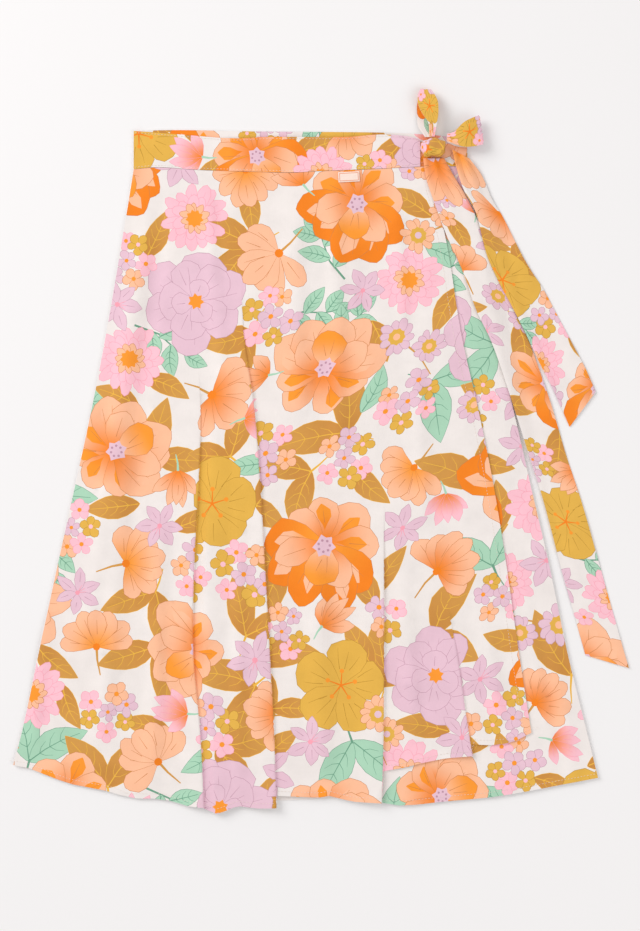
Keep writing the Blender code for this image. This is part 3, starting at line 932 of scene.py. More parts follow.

# %% [markdown]
# ## The folds
# A skirt on a table falls in long soft folds from the waist. Four pleats have a raised edge that
# lies over the cloth beside it, and shallower waves run between them. Simulation would settle the
# cloth, but its folds would land anywhere, so these are placed one by one, uneven in length and depth.

# %% The height of the over front
Crease = namedtuple("Crease", "top_x top_y low_x low_y height width")
OVER_CREASES = (
    Crease(-176, 655, -246, 150, 3.4, 17), Crease(-160, 640, -205, 250, -1.4, 13),
    Crease(-196, 420, -232, 60, 3.0, 18), Crease(-166, 330, -176, 30, 3.4, 15),
    Crease(-285, 210, -300, 60, 2.2, 12), Crease(-120, 655, -104, 470, 2.8, 13),
    Crease(-66, 650, -46, 330, -0.7, 15), Crease(-30, 640, -22, 400, 2.6, 17),
    Crease(14, 650, 20, 360, 2.4, 14), Crease(-8, 380, 2, 40, 3.4, 19),
    Crease(32, 300, 38, 20, -0.7, 12), Crease(84, 260, 98, 70, 3.0, 14),
    Crease(40, 640, 46, 520, -0.6, 10), Crease(-86, 330, -84, 20, 2.6, 11),
    Crease(78, 640, 86, 500, 2.0, 11), Crease(100, 470, 108, 300, 2.2, 12),
    Crease(172, 200, 186, 86, 2.4, 12),
)
UNDER_CREASES = (
    Crease(211, 235, 241, 50, 1.7, 10), Crease(237, 195, 264, 30, 2.0, 12),
    Crease(196, 58, 202, 22, 1.2, 10),
)
HEM_FOLD = 8.0         # depth of the hem, turned up and stitched
HEM_RELIEF = 0.35      # how far the turned cloth stands up
HEM_TURN = 1.5         # width over which it rises to that
FOLD_BEFORE, FOLD_AFTER = 1.4, 0.6   # how far a pleat's rounded edge reaches to its two sides
FOLD_ROWS = 40         # points down each line of a fold
CREASE_FADE = 0.06     # a crease runs on this share of its length past both ends
THIN_EDGE = 14.0       # width over which a panel's wall thins towards its edge


def crease_lift(creases, x, y):
    lift = 0.0
    for crease in creases:
        down = (crease.top_y - y) / (crease.top_y - crease.low_y)
        if not -CREASE_FADE < down < 1 + CREASE_FADE:
            continue
        aside = abs(x - mix(crease.top_x, crease.low_x, down)) / crease.width
        if aside < 1.0:
            ends = smooth((down + CREASE_FADE) / 0.3) * smooth((1 + CREASE_FADE - down) / 0.2)
            lift += crease.height * smooth(1 - aside) * ends
    return lift


def pleat_height(pleat, y):
    return pleat.height * smooth((pleat.starts - y) / pleat.grows)


def fold_profile(beside):
    """1 on a pleat's crest and 0 past its edge, rounded between."""
    t = min(max((FOLD_BEFORE - beside) / (FOLD_BEFORE + FOLD_AFTER), 0.0), 1.0)
    return math.sqrt(max(0.0, 1 - t * t))


def over_lift(x, y):
    lift = 0.0
    for pleat in PLEATS:
        beside = LINES[pleat.line](y) - x
        if -FOLD_AFTER < beside < FOLD_BEFORE:
            lift = max(lift, pleat_height(pleat, y) * fold_profile(beside))
        elif FOLD_BEFORE <= beside < pleat.soft:
            lift = max(lift, pleat_height(pleat, y) * smooth(1 - beside / pleat.soft))
    beyond = x - LINES["pleat_1"](y) - RIDGE_OFFSET
    reach = RIDGE_RISE if beyond < 0 else RIDGE_FALL
    if abs(beyond) < reach:
        share = RIDGE_HEIGHT / PLEATS[0].height
        lift = max(lift, share * pleat_height(PLEATS[0], y) * smooth(1 - abs(beyond) / reach))
    return lift


def over_hem(x):
    """Height of the over front's hem at a place across it."""
    y = 30.0
    for _ in range(2):
        for left, right, hem in OVER_BANDS:
            low, high = LINES[left](y), LINES[right](y)
            if x <= high or right == "wrap":
                found = straight(hem, "share", "y", (x - low) / (high - low))
                break
        y = found
    return y


def ripple(x, y):
    """The cloth is never quite flat."""
    return 0.14 * math.sin(x / 13 + y / 47) + 0.1 * math.sin(x / 7.5 - y / 61 + 1.3)


def over_front(x, y, side):
    floor = mix(UNDER_Z, OVER_Z, climb(x - under_left(y)))
    z = floor + CLOTH + over_lift(x, y) + crease_lift(OVER_CREASES, x, y) + ripple(x, y)
    up_from_hem = y - over_hem(x)
    z += HEM_RELIEF * smooth((HEM_FOLD - up_from_hem) / HEM_TURN)
    from_edge = min(up_from_hem, LINES["wrap"](y) - x, x - LINES["left"](y), seam(x) - y)
    return metres(x, y, z - side * mix(THIN, CLOTH, smooth(from_edge / THIN_EDGE)))


def stepped(points, step):
    """The same outline with points no farther apart than step."""
    found = []
    for a, b in zip(points, points[1:] + points[:1]):
        count = max(1, math.ceil(math.dist(a, b) / step))
        found.extend((mix(a[0], b[0], k / count), mix(a[1], b[1], k / count)) for k in range(count))
    return found


def down_a_line(name, high, low, rows=FOLD_ROWS):
    return [(LINES[name](y), y) for y in (mix(high, low, k / rows) for k in range(rows + 1))]


LEFT_FOOT = 56.0       # where the over front's two side edges end, just above its hem
WRAP_FOOT = 92.0
OUTLINE_STEP = 6.0     # farthest that two points of a panel's outline may lie apart


def over_outline():
    hem = []
    for left, right, rows in OVER_BANDS:
        for k in range(13):
            y = straight(rows, "share", "y", k / 12)
            x = mix(LINES[left](y), LINES[right](y), k / 12)
            hem.append((x + (EDGE_WIDTH if k == 0 and left != "left" else 0.0), y))
    left = down_a_line("left", seam(LINES["left"](WAIST)), LEFT_FOOT)
    wrap = down_a_line("wrap", seam(LINES["wrap"](WAIST)), WRAP_FOOT)[::-1]
    waist = [(x, seam(x)) for x in (mix(WAIST_ENDS[1], WAIST_ENDS[0], k / 40) for k in range(41))]
    return stepped(left + hem + wrap + waist, OUTLINE_STEP)


RIDGE_LINES = (7.0, 9.0, 12.0, 17.0, 24.0, 33.0)   # beside the first pleat, over its second ridge


def fold_lines():
    """Lines down each pleat, closer together where its edge turns over."""
    routes = []
    for pleat in PLEATS:
        beside = (-FOLD_BEFORE, -0.4, 0.3, FOLD_AFTER)
        if pleat.line == "pleat_1":
            beside += RIDGE_LINES
        for aside in beside:
            routes.append([(LINES[pleat.line](y) + aside, y)
                           for y in (mix(pleat.starts, 0, k / FOLD_ROWS) for k in range(FOLD_ROWS + 1))])
    return routes


print("pleats", [pleat.height for pleat in PLEATS], "mm high, and",
      len(OVER_CREASES) + len(UNDER_CREASES), "creases")

# %% [markdown]
# ## The print over the pleats
# Each pleat folds some cloth away beneath it, so a flower that meets a pleat is cut there and goes
# on further along. Two pictures side by side could fake that. Here every band between two pleats
# gets its own copy of the print, shifted by the cloth that the pleats on its left have taken up.

# %% The over front
PLEAT_HIDES = 24.0     # cloth that a fully open pleat folds away


def band_at(x, y):
    """The band that a point of the over front is in, counted from the left."""
    return sum(x > LINES[pleat.line](y) for pleat in PLEATS)


def folded_away(band, y):
    """How much cloth the pleats to the left of a band hide at this height."""
    return sum(PLEAT_HIDES * smooth((pleat.starts - y) / pleat.grows) for pleat in PLEATS[:band])


def over_the_pleats(patches):
    """A copy of each patch for every band that it reaches, shifted as the cloth is."""
    found = []
    for patch in patches:
        for band in range(len(PLEATS) + 1):
            points = [(x - folded_away(band, y), y) for x, y in patch.points]
            if any(band_at(x, y) == band for x, y in points):
                start, end = [(x - folded_away(band, y), y) for x, y in (patch.start, patch.end)]
                found.append(patch._replace(points=points, start=start, end=end, band=band))
    return found


def in_its_band(patch, point):
    return band_at(*point) == patch.band


OVER_BOX = (-340, -10, 240 + PLEAT_HIDES * len(PLEATS), 690)
over_print = over_the_pleats(printed_design(OVER_BOX, seed=11))
over_piece = cloth_sheet("over_front", over_outline(), over_front, over_print, PANEL_CLOTH,
                         lines=fold_lines(), spacing=6.4, back_spacing=6.6, belongs=in_its_band)

# %% [markdown]
# ## The under front and the back
# The under front shows only in a strip on the right and below the hem, and the back shows from
# underneath. Both are cut from the same print at other places. The back's printed side faces down.
# The print of the under front stops a little way in below the over front, where nothing can see it.

# %% The two flat panels
CORNER = 5.0           # the waist's points stop this far from a panel's top corners
HEM_LEVEL = 25.0       # the height at which a hem's width is measured


def panel_outline(left_of, hem):
    foot_left, foot_right = hem[0].y, hem[-1].y
    foot = []
    for k in range(25):
        y = straight(hem, "share", "y", k / 24)
        foot.append((mix(left_of(y), LINES["right"](y), k / 24), y))
    high = [(LINES["right"](y), y) for y in (mix(foot_right, WAIST, k / 40) for k in range(1, 41))]
    waist_right, waist_left = LINES["right"](WAIST) - CORNER, left_of(WAIST) + CORNER
    waist = [(x, seam(x)) for x in (mix(waist_right, waist_left, k / 30) for k in range(31))]
    low = [(left_of(y), y) for y in (mix(WAIST, foot_left, k / 40) for k in range(40))]
    return stepped(foot + high + waist + low, OUTLINE_STEP)


def hem_y(left_of, hem, x):
    low, high = left_of(HEM_LEVEL), LINES["right"](HEM_LEVEL)
    return straight(hem, "share", "y", (x - low) / (high - low))


def under_front(x, y, side):
    lift = crease_lift(UNDER_CREASES, x, y)
    lift += HEM_RELIEF * smooth((HEM_FOLD - y + hem_y(under_left, UNDER_HEM, x)) / HEM_TURN)
    return metres(x, y, UNDER_Z + CLOTH - THIN * side + lift)


def back_panel(x, y, side):
    return metres(x, y, THIN * side)


TUCKED = 30.0          # how far the print runs on below the over front


def shows_under(patch, point):
    return point[0] > LINES["wrap"](point[1]) - TUCKED or point[1] < over_hem(point[0]) + TUCKED


UNDER_BOX = (60, -10, 310, 690)
under_print = printed_design(UNDER_BOX, seed=23)
under_piece = cloth_sheet("under_front", panel_outline(under_left, UNDER_HEM), under_front, under_print,
                          PANEL_CLOTH, spacing=6.4, back_spacing=7.0, belongs=shows_under)
BACK_BOX = (-345, -10, 305, 690)
back_print = printed_design(BACK_BOX, seed=37, fine_lines=False)
back_piece = cloth_sheet("back", panel_outline(LINES["left"], BACK_HEM), back_panel, back_print,
                         PANEL_CLOTH, spacing=11.0, back_spacing=16.0, turned=True)

# %% [markdown]
# ## The waistband
# A waistband is a folded strip with a stiff interlining, so it stays flatter than the skirt. It is
# printed on both faces. Each of its three layers is a sheet that follows the seam below it, with
# its top edge pressed a little thinner and small puckers along the stitching.

# %% Three layers of waistband
front_crown = curve_through(FRONT_CROWN, "x", "y")
back_crown = curve_through(BACK_CROWN, "x", "y")
PRESSED = 5.0          # width over which the band's top edge is pressed thin
END_FOLD_X = -187.0    # where the side seam puts a soft crease in the band


def band_sheet(name, left, right, crown, floor_of, seed):
    xs = [mix(left, right, k / 50) for k in range(51)]
    foot = [(x, seam(x) + SEAM_GAP) for x in xs]
    head = [(x, crown(x)) for x in reversed(xs)]

    def surface(x, y, side):
        """Thinner along the top edge, puckered by the seam, with a soft crease at the side seam."""
        up = y - seam(x)
        pressed = 0.35 * smooth((PRESSED - (crown(x) - y)) / PRESSED)
        pucker = 0.16 * math.sin(x / 2.9 + math.sin(x / 17)) * smooth(1 - up / 12)
        crease = -0.4 * smooth(1 - abs(x - END_FOLD_X) / 3)
        if side:
            return metres(x, y, floor_of(x) + BAND - DOUBLED + pressed * 0.3)
        return metres(x, y, floor_of(x) + BAND - pressed + pucker + crease)

    design = printed_design((left - 10, 660, right + 10, 716), seed, 0.9)
    return cloth_sheet(name, stepped(foot + head, 5.0), surface, design, BAND_CLOTH, spacing=4.0,
                       both_sides=True)


def front_band_floor(x):
    return mix(UNDER_BAND_Z, OVER_BAND_Z, climb(x - UNDER_BAND_LEFT))


band_back = band_sheet("waistband_back_layer", BAND_LEFT, BAND_RIGHT, back_crown, lambda x: 0.0, 41)
band_under = band_sheet("waistband_under_layer", UNDER_BAND_LEFT, BAND_RIGHT,
                        lambda x: back_crown(x) - UNDER_BAND_DROP, lambda x: UNDER_BAND_Z, 43)
band_front = band_sheet("waistband_front_layer", BAND_LEFT, FRONT_BAND_RIGHT, front_crown,
                        front_band_floor, 47)

# %% [markdown]
# ## The tie's two tails
# The tie is a doubled strip, so its print shows on both faces and its long edges are folds. Each
# tail is cut flat, as a straight strip, and then carried along a table of sections across it. Near
# the knot it is gathered, so lengthwise folds start there and die away down the tail.

# %% Tails
Across = namedtuple("Across", "left_x left_y right_x right_y")
LONG_TAIL = (
    Across(106, 680, 128, 680), Across(109, 660, 139, 660), Across(115.5, 640, 151, 640),
    Across(130.5, 600, 170, 600), Across(147.5, 562, 187, 562), Across(161, 523, 200.5, 523),
    Across(175.5, 493, 215, 493), Across(186, 465, 225.5, 465), Across(199.5, 424, 239.5, 424),
    Across(216, 372, 255, 372), Across(231, 325, 270.5, 325), Across(250, 253, 291, 253),
    Across(265, 200, 306, 200), Across(272, 175, 313, 175), Across(275, 164, 320, 151),
)
SHORT_TAIL = (
    Across(136, 689, 154, 680), Across(141, 668, 167, 663), Across(148.5, 646, 178, 638),
    Across(160, 625, 189, 620), Across(172, 580, 209, 580), Across(183.5, 554, 219, 563),
    Across(197, 529, 231, 545), Across(212, 500, 246, 517), Across(228, 466, 263, 485),
    Across(240, 443, 274.5, 463), Across(258.5, 401.5, 285.5, 438),
)
TIE_WIDTH = 40.0
GATHER = 95.0          # how far the folds run down from the knot
TAIL_LIFT = 0.25       # the least room below a tail


def along_table(table):
    """The table as curves over the distance along it, and its length."""
    middles = [((row.left_x + row.right_x) / 2, (row.left_y + row.right_y) / 2) for row in table]
    runs = [0.0]
    for a, b in zip(middles, middles[1:]):
        runs.append(runs[-1] + math.dist(a, b))
    Run = namedtuple("Run", ("run", *table[0]._fields))
    rows = [Run(run, *row) for run, row in zip(runs, table)]
    return {name: curve_through(rows, "run", name) for name in table[0]._fields}, runs[-1]


def resting_height(x, y):
    side = x - LINES["right"](y)
    return max(0.0, OVER_TOP + SEAM_GAP - TENT_SLOPE * max(0.0, side - SIDE_CLEAR))


def long_tail_right(y):
    rows = [Edge(row.right_x, row.right_y) for row in reversed(LONG_TAIL)]
    return straight(rows, "y", "x", y)


def height_on_long_tail(x, y):
    edge = long_tail_right(y)
    tie_top = resting_height(min(x, edge), y) + TIE + CROSSING_GAP
    return max(resting_height(x, y), tie_top - TENT_SLOPE * max(0.0, x - edge - TAIL_CLEAR))


def strip_outline(width, length):
    return stepped([(0, 0), (width, 0), (width, length), (0, length)], 4.0)


def tail_sheet(name, table, floor_of, folds, seed, extra=()):
    read, length = along_table(table)

    def surface(u, v, side):
        """Gathers that die away below the knot, then one slow wave. Both long edges are rounded."""
        share = u / TIE_WIDTH
        x = mix(read["left_x"](v), read["right_x"](v), share)
        y = mix(read["left_y"](v), read["right_y"](v), share)
        gathered = smooth(1 - v / GATHER)
        wave = 0.9 * gathered * (1 + math.sin(math.tau * folds * share + v / 31))
        wave += 0.45 * (1 + math.sin(v / 23 + share * 2.4)) * smooth(v / 60) * (0.3 + share)
        rounded = 0.5 * (1 - smooth(min(share, 1 - share) / 0.06))
        if side:
            return metres(x, y, floor_of(x, y) + TAIL_LIFT + wave * 0.8 + rounded * 0.4)
        return metres(x, y, floor_of(x, y) + TAIL_LIFT + DOUBLED + wave * 0.8 - rounded)

    design = printed_design((-8, -10, TIE_WIDTH + 8, length + 10), seed, 0.8) + list(extra)
    return cloth_sheet(name, strip_outline(TIE_WIDTH, length), surface, design, TIE_CLOTH, spacing=3.6,
                       both_sides=True, turned=True)


def gathered_bloom(seed, place, turn, size, tint):
    """A wide flower that the knot gathers together, as its own patches."""
    patches = []
    fan_flower(Brush(patches, *place, turn, size, random.Random(seed)), tint)
    return patches


tail_long = tail_sheet("tie_tail_long_cloth", LONG_TAIL, resting_height, 2.5, 53,
                       gathered_bloom(5, (22, 6), 0, 46, "flame"))
tail_short = tail_sheet("tie_tail_short_cloth", SHORT_TAIL, height_on_long_tail, 2.0, 59,
                        gathered_bloom(6, (14, 0), -10, 44, "peach"))

# %% [markdown]
# ## The bow
# Each loop is the tie bent round on itself, so the print outside and the inside of the loop both
# show at its mouth. It is a strip carried through a short table of bends, with a height for each.
# The knot is a last turn of the tie, pulled tight: a rounded pad with folds that run round it.

# %% Loops
Bend = namedtuple("Bend", "left_x left_y right_x right_y z")
UPRIGHT_LOOP = (
    Bend(108, 702, 115, 702, 6.5), Bend(101, 713, 115, 713, 4.5), Bend(99.5, 726, 117, 726, 3.0),
    Bend(100, 738, 119, 738, 2.4), Bend(102, 748, 116, 747, 4.0), Bend(103, 751.4, 114, 751, 7.5),
    Bend(101, 747, 117.5, 746, 11.0), Bend(100, 738, 121, 738, 12.4), Bend(104, 727, 121.5, 727, 12.4),
    Bend(111, 716, 120, 716, 11.6), Bend(112, 702, 117.5, 702, 10.5),
)
SIDE_LOOP = (
    Bend(130.5, 697, 130.5, 706, 6.5), Bend(139, 693, 138, 710, 6.0), Bend(150, 691.5, 148, 716, 6.0),
    Bend(161, 692.5, 158, 722, 6.4), Bend(168, 694, 163, 724, 7.6), Bend(169.4, 694.5, 164, 724.5, 9.6),
    Bend(168, 694, 163, 724, 11.6), Bend(160, 692, 156, 721, 12.8), Bend(149, 691, 147, 716, 12.6),
    Bend(139, 694, 138, 707, 11.6), Bend(130.5, 697, 130.5, 705, 10.8),
)
LOOP_WIDTH = 26.0
LOOP_HALF = 0.45       # half the loop's wall
LOOP_REACH = 0.4       # how far along the loop its direction is measured
LOOP_PUCKER = 14.0     # the length over which its ends are puckered


def loop_sheet(name, table, design):
    read, length = along_table(table)
    read["z"] = curve_through([namedtuple("Height", "run z")(length * k / (len(table) - 1), row.z)
                               for k, row in enumerate(table)], "run", "z")

    def middle(u, v):
        share = u / LOOP_WIDTH
        x = mix(read["left_x"](v), read["right_x"](v), share)
        y = mix(read["left_y"](v), read["right_y"](v), share)
        ends = smooth(1 - v / LOOP_PUCKER) + smooth(1 - (length - v) / LOOP_PUCKER)
        return Vector((x, y, read["z"](v) + 0.3 * ends * math.sin(math.tau * 2 * share)))

    def surface(u, v, side):
        v = min(max(v, 0.0), length)
        before, after = max(v - LOOP_REACH, 0.0), min(v + LOOP_REACH, length)
        along = middle(u, after) - middle(u, before)
        across = middle(LOOP_WIDTH, v) - middle(0, v)
        normal = along.cross(across).normalized()
        return metres(*(middle(u, v) + normal * (LOOP_HALF - 2 * LOOP_HALF * side)))

    return cloth_sheet(name, strip_outline(LOOP_WIDTH, length), surface, design(length), TIE_CLOTH,
                       spacing=2.4, both_sides=True)


def loop_print(seed, main, second):
    """A loop's print: one bold flower at its far end and small ones beside it."""
    def draw(length):
        patches, chance = [], random.Random(seed)
        leaf(Brush(patches, LOOP_WIDTH * 0.7, length * 0.16, 12, 15, chance), "mint")
        leaf(Brush(patches, LOOP_WIDTH * 0.4, length * 0.92, 170, 14, chance), "ochre")
        wide_bloom(Brush(patches, LOOP_WIDTH * 0.55, length * 0.68, 30, 22, chance), main)
        wide_bloom(Brush(patches, LOOP_WIDTH * 0.45, length * 0.36, 80, 17, chance), second)
        blossom(Brush(patches, LOOP_WIDTH * 0.16, length * 0.56, 0, 7, chance), "pink")
        blossom(Brush(patches, LOOP_WIDTH * 0.86, length * 0.5, 40, 6, chance), "lilac")
        blossom(Brush(patches, LOOP_WIDTH * 0.18, length * 0.95, 0, 10, chance), "soft peach")
        blossom(Brush(patches, LOOP_WIDTH * 0.84, length * 0.97, 0, 8, chance), "pink")
        return patches
    return draw


loop_up = loop_sheet("bow_loop_upright_cloth", UPRIGHT_LOOP, loop_print(61, "mustard", "orange"))
loop_side = loop_sheet("bow_loop_side_cloth", SIDE_LOOP, loop_print(67, "mustard", "lilac"))

# %% Knot
KNOT_CENTRE = (116.5, 690.6, 9.3)
KNOT_HALF = (13.2, 9.9, 5.8)
KNOT_SQUARENESS = 0.75
KNOT_WIDTH, KNOT_ROUND = 30.0, 44.0   # the knot's wrap laid flat: across its folds, and round it
KNOT_FOLDS = 3.0
KNOT_TIP = 0.4         # cloth left off at both ends, where the wrap closes to a point
KNOT_TURN = math.radians(-24)


def knot_point(u, v, side):
    """The wrap closes into a ball: v goes round it and u from one of its ends to the other."""
    slant = math.pi * (u / KNOT_WIDTH - 0.5)
    round_it = math.tau * v / KNOT_ROUND
    fold = 1 + 0.1 * math.sin(math.tau * KNOT_FOLDS * u / KNOT_WIDTH + 0.8 * math.sin(round_it))
    fold = mix(1.0, fold, math.cos(slant)) * (1 - 0.12 * side)
    ball = (math.sin(slant), math.cos(slant) * math.sin(round_it), math.cos(slant) * math.cos(round_it))
    cos, sin = math.cos(KNOT_TURN), math.sin(KNOT_TURN)
    ball = (ball[0] * cos - ball[1] * sin, ball[0] * sin + ball[1] * cos, ball[2])
    boxy = [math.copysign(abs(value) ** KNOT_SQUARENESS, value) for value in ball]
    return metres(*[centre + half * value * fold * 0.98
                    for centre, half, value in zip(KNOT_CENTRE, KNOT_HALF, boxy)])


def knot_print():
    patches, chance = [], random.Random(71)
    wide_bloom(Brush(patches, KNOT_WIDTH * 0.3, KNOT_ROUND * 0.25, 0, 15, chance), "mustard")
    leaf(Brush(patches, KNOT_WIDTH * 0.62, KNOT_ROUND * 0.1, 60, 17, chance), "ochre")
    leaf(Brush(patches, KNOT_WIDTH * 0.7, KNOT_ROUND * 0.86, -20, 17, chance), "ochre")
    wide_bloom(Brush(patches, KNOT_WIDTH * 0.4, KNOT_ROUND * 0.96, 40, 10, chance), "mustard")
    blossom(Brush(patches, KNOT_WIDTH * 0.2, KNOT_ROUND * 0.9, 0, 6, chance), "pink")
    blossom(Brush(patches, KNOT_WIDTH * 0.24, KNOT_ROUND * 0.06, 30, 5, chance), "lilac")
    return patches


knot_cut = [(KNOT_TIP, 0), (KNOT_WIDTH - KNOT_TIP, 0), (KNOT_WIDTH - KNOT_TIP, KNOT_ROUND),
            (KNOT_TIP, KNOT_ROUND)]
knot_piece = cloth_sheet("bow_knot_cloth", stepped(knot_cut, 1.5), knot_point, knot_print(), TIE_CLOTH,
                         spacing=1.5, both_sides=True)

# %% [markdown]
# ## The label
# A small woven label is sewn flat below the waist seam. It is a stiff damask tape, cream with a
# thin coloured border. A bevelled tile would do, but the same sheet maker gives it a woven edge
# and a real border line. It is left plain inside the border.

# %% Label
LABEL_SIZE = (22.0, 10.5)
LABEL_PLACE = (29.0, 661.0)
LABEL_TURN = math.radians(3)
BORDER_INSET = 1.1
BORDER_WIDTH = 0.6
LABEL_GROUND = Ink(paint("FBE3D6"), paint("FBE3D6"), paint("E98A5C"))


def woven_label():
    """Damask tape: a tighter, slightly glossier weave, so it stands out from the cloth round it."""
    made = printed_viscose("woven_damask_label", 0.6, 0.6)
    made.node_tree.nodes["Principled BSDF"].inputs["Sheen Weight"].default_value = 0.2
    return made


def rectangle(inset):
    width, height = LABEL_SIZE[0] / 2 - inset, LABEL_SIZE[1] / 2 - inset
    return [(-width, -height), (width, -height), (width, height), (-width, height)]


def label_surface(u, v, side):
    cos, sin = math.cos(LABEL_TURN), math.sin(LABEL_TURN)
    x = LABEL_PLACE[0] + u * cos - v * sin
    y = LABEL_PLACE[1] + u * sin + v * cos
    edge = min(LABEL_SIZE[0] / 2 - abs(u), LABEL_SIZE[1] / 2 - abs(v))
    rounded = 0.3 * (1 - smooth(edge / 0.8))
    return metres(x, y, OVER_TOP + SEAM_GAP + (0.1 if side else LABEL - rounded))


def flat_patch(points, ink):
    return Patch(points, ink, ink, (0, 0), (0, 1), 0)


label_print = [flat_patch(rectangle(0.01), LABEL_GROUND.root),
               flat_patch(rectangle(BORDER_INSET), LABEL_GROUND.line),
               flat_patch(rectangle(BORDER_INSET + BORDER_WIDTH), LABEL_GROUND.root)]
label_piece = cloth_sheet("woven_label", stepped(rectangle(0), 1.2), label_surface, label_print,
                          woven_label(), spacing=1.2, both_sides=True)

# %% [markdown]
# ## The stitching
# Every hem and edge is held by a row of lockstitch. A modelled row of hundreds of stitches is best
# left to Geometry Nodes: points are set along a curve at the stitch's length, and a short rounded
# thread is put on each. The tree's inputs hold the stitch's sizes, in metres.

# %% Thread and its tree
STITCH_PITCH = 3.4     # a real stitch is about 2.5 mm; drawn longer so that the row can be seen
STITCH_LENGTH = 2.2
STITCH_THICK = 0.42


def sewing_thread():
    """Spun polyester sewing thread: a warm off-white, a little shinier than the cloth."""
    made = bpy.data.materials.new("spun_polyester_thread")
    made.use_nodes = True
    shader = made.node_tree.nodes["Principled BSDF"]
    shader.inputs["Base Color"].default_value = (*paint("EFE2D8"), 1)
    shader.inputs["Roughness"].default_value = 0.55
    shader.inputs["Sheen Weight"].default_value = 0.2
    return made


def stitch_tree(thread):
    tree = bpy.data.node_groups.new("row_of_stitches", "GeometryNodeTree")
    face = tree.interface
    face.new_socket("Geometry", in_out="INPUT", socket_type="NodeSocketGeometry")
    sizes = {}
    for name, value in (("Pitch", STITCH_PITCH), ("Length", STITCH_LENGTH), ("Thickness", STITCH_THICK)):
        socket = face.new_socket(name, in_out="INPUT", socket_type="NodeSocketFloat")
        socket.default_value = value * MM
        sizes[name] = socket.identifier
    face.new_socket("Geometry", in_out="OUTPUT", socket_type="NodeSocketGeometry")
    given = add_node(tree, "NodeGroupInput")
    spots = add_node(tree, "GeometryNodeCurveToPoints", [("Curve", given.outputs["Geometry"]),
                                                         ("Length", given.outputs["Pitch"])], mode="LENGTH")
    ball = add_node(tree, "GeometryNodeMeshUVSphere", Segments=6, Rings=4, Radius=0.5)
    size = add_node(tree, "ShaderNodeCombineXYZ", [("X", given.outputs["Thickness"]),
                                                   ("Y", given.outputs["Thickness"]),
                                                   ("Z", given.outputs["Length"])])
    put = add_node(tree, "GeometryNodeInstanceOnPoints", [
        ("Points", spots.outputs["Points"]), ("Instance", ball.outputs["Mesh"]),
        ("Rotation", spots.outputs["Rotation"]), ("Scale", size.outputs["Vector"])])
    real = add_node(tree, "GeometryNodeRealizeInstances", [("Geometry", put.outputs["Instances"])])
    coat = add_node(tree, "GeometryNodeSetMaterial", [("Geometry", real.outputs["Geometry"])],
                    Material=thread)
    out = add_node(tree, "NodeGroupOutput")
    tree.links.new(coat.outputs["Geometry"], out.inputs["Geometry"])
    return tree, sizes


THREAD = sewing_thread()
STITCHES, STITCH_SIZES = stitch_tree(THREAD)
print(STITCHES.name, "has", len(STITCHES.nodes), "nodes")


def stitching(name, routes):
    """Rows of stitches along routes of points in metres, as one plain mesh."""
    curve = bpy.data.curves.new(name + "_rows", "CURVE")
    curve.dimensions = "3D"
    for route in routes:
        row = curve.splines.new("POLY")
        row.points.add(len(route) - 1)
        for spot, place in zip(row.points, route):
            spot.co = (*place, 1)
    rows = bpy.data.objects.new(name + "_rows", curve)
    bpy.context.collection.objects.link(rows)
    sew = rows.modifiers.new("sew", "NODES")
    sew.node_group = STITCHES
    for key, value in (("Pitch", STITCH_PITCH), ("Length", STITCH_LENGTH), ("Thickness", STITCH_THICK)):
        sew[STITCH_SIZES[key]] = value * MM
    seen = rows.evaluated_get(bpy.context.evaluated_depsgraph_get())
    mesh = bpy.data.meshes.new_from_object(seen, preserve_all_data_layers=True,
                                           depsgraph=bpy.context.evaluated_depsgraph_get())
    mesh.name = name
    mesh.shade_smooth()
    bpy.data.objects.remove(rows, do_unlink=True)
    made = bpy.data.objects.new(name, mesh)
    bpy.context.collection.objects.link(made)
    print(f"{name}: {len(mesh.polygons)} faces")
    return made


# %% Rows of stitches
HEM_INSET = 5.0        # how far each row lies in from its edge
WRAP_INSET = 8.0
BAND_INSET = 1.8
ROW_END = 2.0          # how far a row on the waistband stops short of its ends
HEM_ROW_END = 3.0      # the same for each stretch of hem between two pleats
HEM_ROW_LEVEL = 30.0   # the height at which those stretches are measured
WRAP_ROW_TOP = 660.0
UNDER_ROW_START = 60.0
UNDER_ROW_END = 4.0
ON_TOP = STITCH_THICK / 2 * MM * 0.7   # a thread sinks a little into the cloth


def lifted(surface, points):
    return [surface(x, y, 0) + Vector((0, 0, ON_TOP)) for x, y in points]


def steps(start, stop, every=4.0):
    count = max(2, math.ceil(abs(stop - start) / every))
    return [mix(start, stop, k / count) for k in range(count + 1)]


hem_rows = []
for left, right, _ in OVER_BANDS:
    first = LINES[left](HEM_ROW_LEVEL) + HEM_ROW_END
    last = LINES[right](HEM_ROW_LEVEL) - HEM_ROW_END
    hem_rows.append(lifted(over_front, [(x, over_hem(x) + HEM_INSET) for x in steps(first, last)]))
wrap_row = lifted(over_front, [(LINES["wrap"](y) - WRAP_INSET, y)
                               for y in steps(WRAP_ROW_TOP, WRAP_FOOT)])
over_sewing = stitching("over_front_stitching", [*hem_rows, wrap_row])

under_row_stop = LINES["right"](UNDER_HEM[-1].y) - UNDER_ROW_END
under_row = [(x, hem_y(under_left, UNDER_HEM, x) + HEM_INSET)
             for x in steps(UNDER_ROW_START, under_row_stop)]
under_sewing = stitching("under_front_stitching", [lifted(under_front, under_row)])


def front_band_top(x, y, side):
    return metres(x, y, front_band_floor(x) + BAND)


band_xs = steps(BAND_LEFT + ROW_END, FRONT_BAND_RIGHT - ROW_END)
band_rows = [[(x, seam(x) + BAND_INSET + SEAM_GAP) for x in band_xs],
             [(x, front_crown(x) - BAND_INSET) for x in band_xs]]
band_sewing = stitching("waistband_stitching", [lifted(front_band_top, row) for row in band_rows])

# %% [markdown]
# ## Which piece stands for what
# Each sheet takes the place of one solid, rides on the skirt's only body and states the flat cut
# of what shows. Nothing on a skirt moves as a hinge does, so there is a single body.

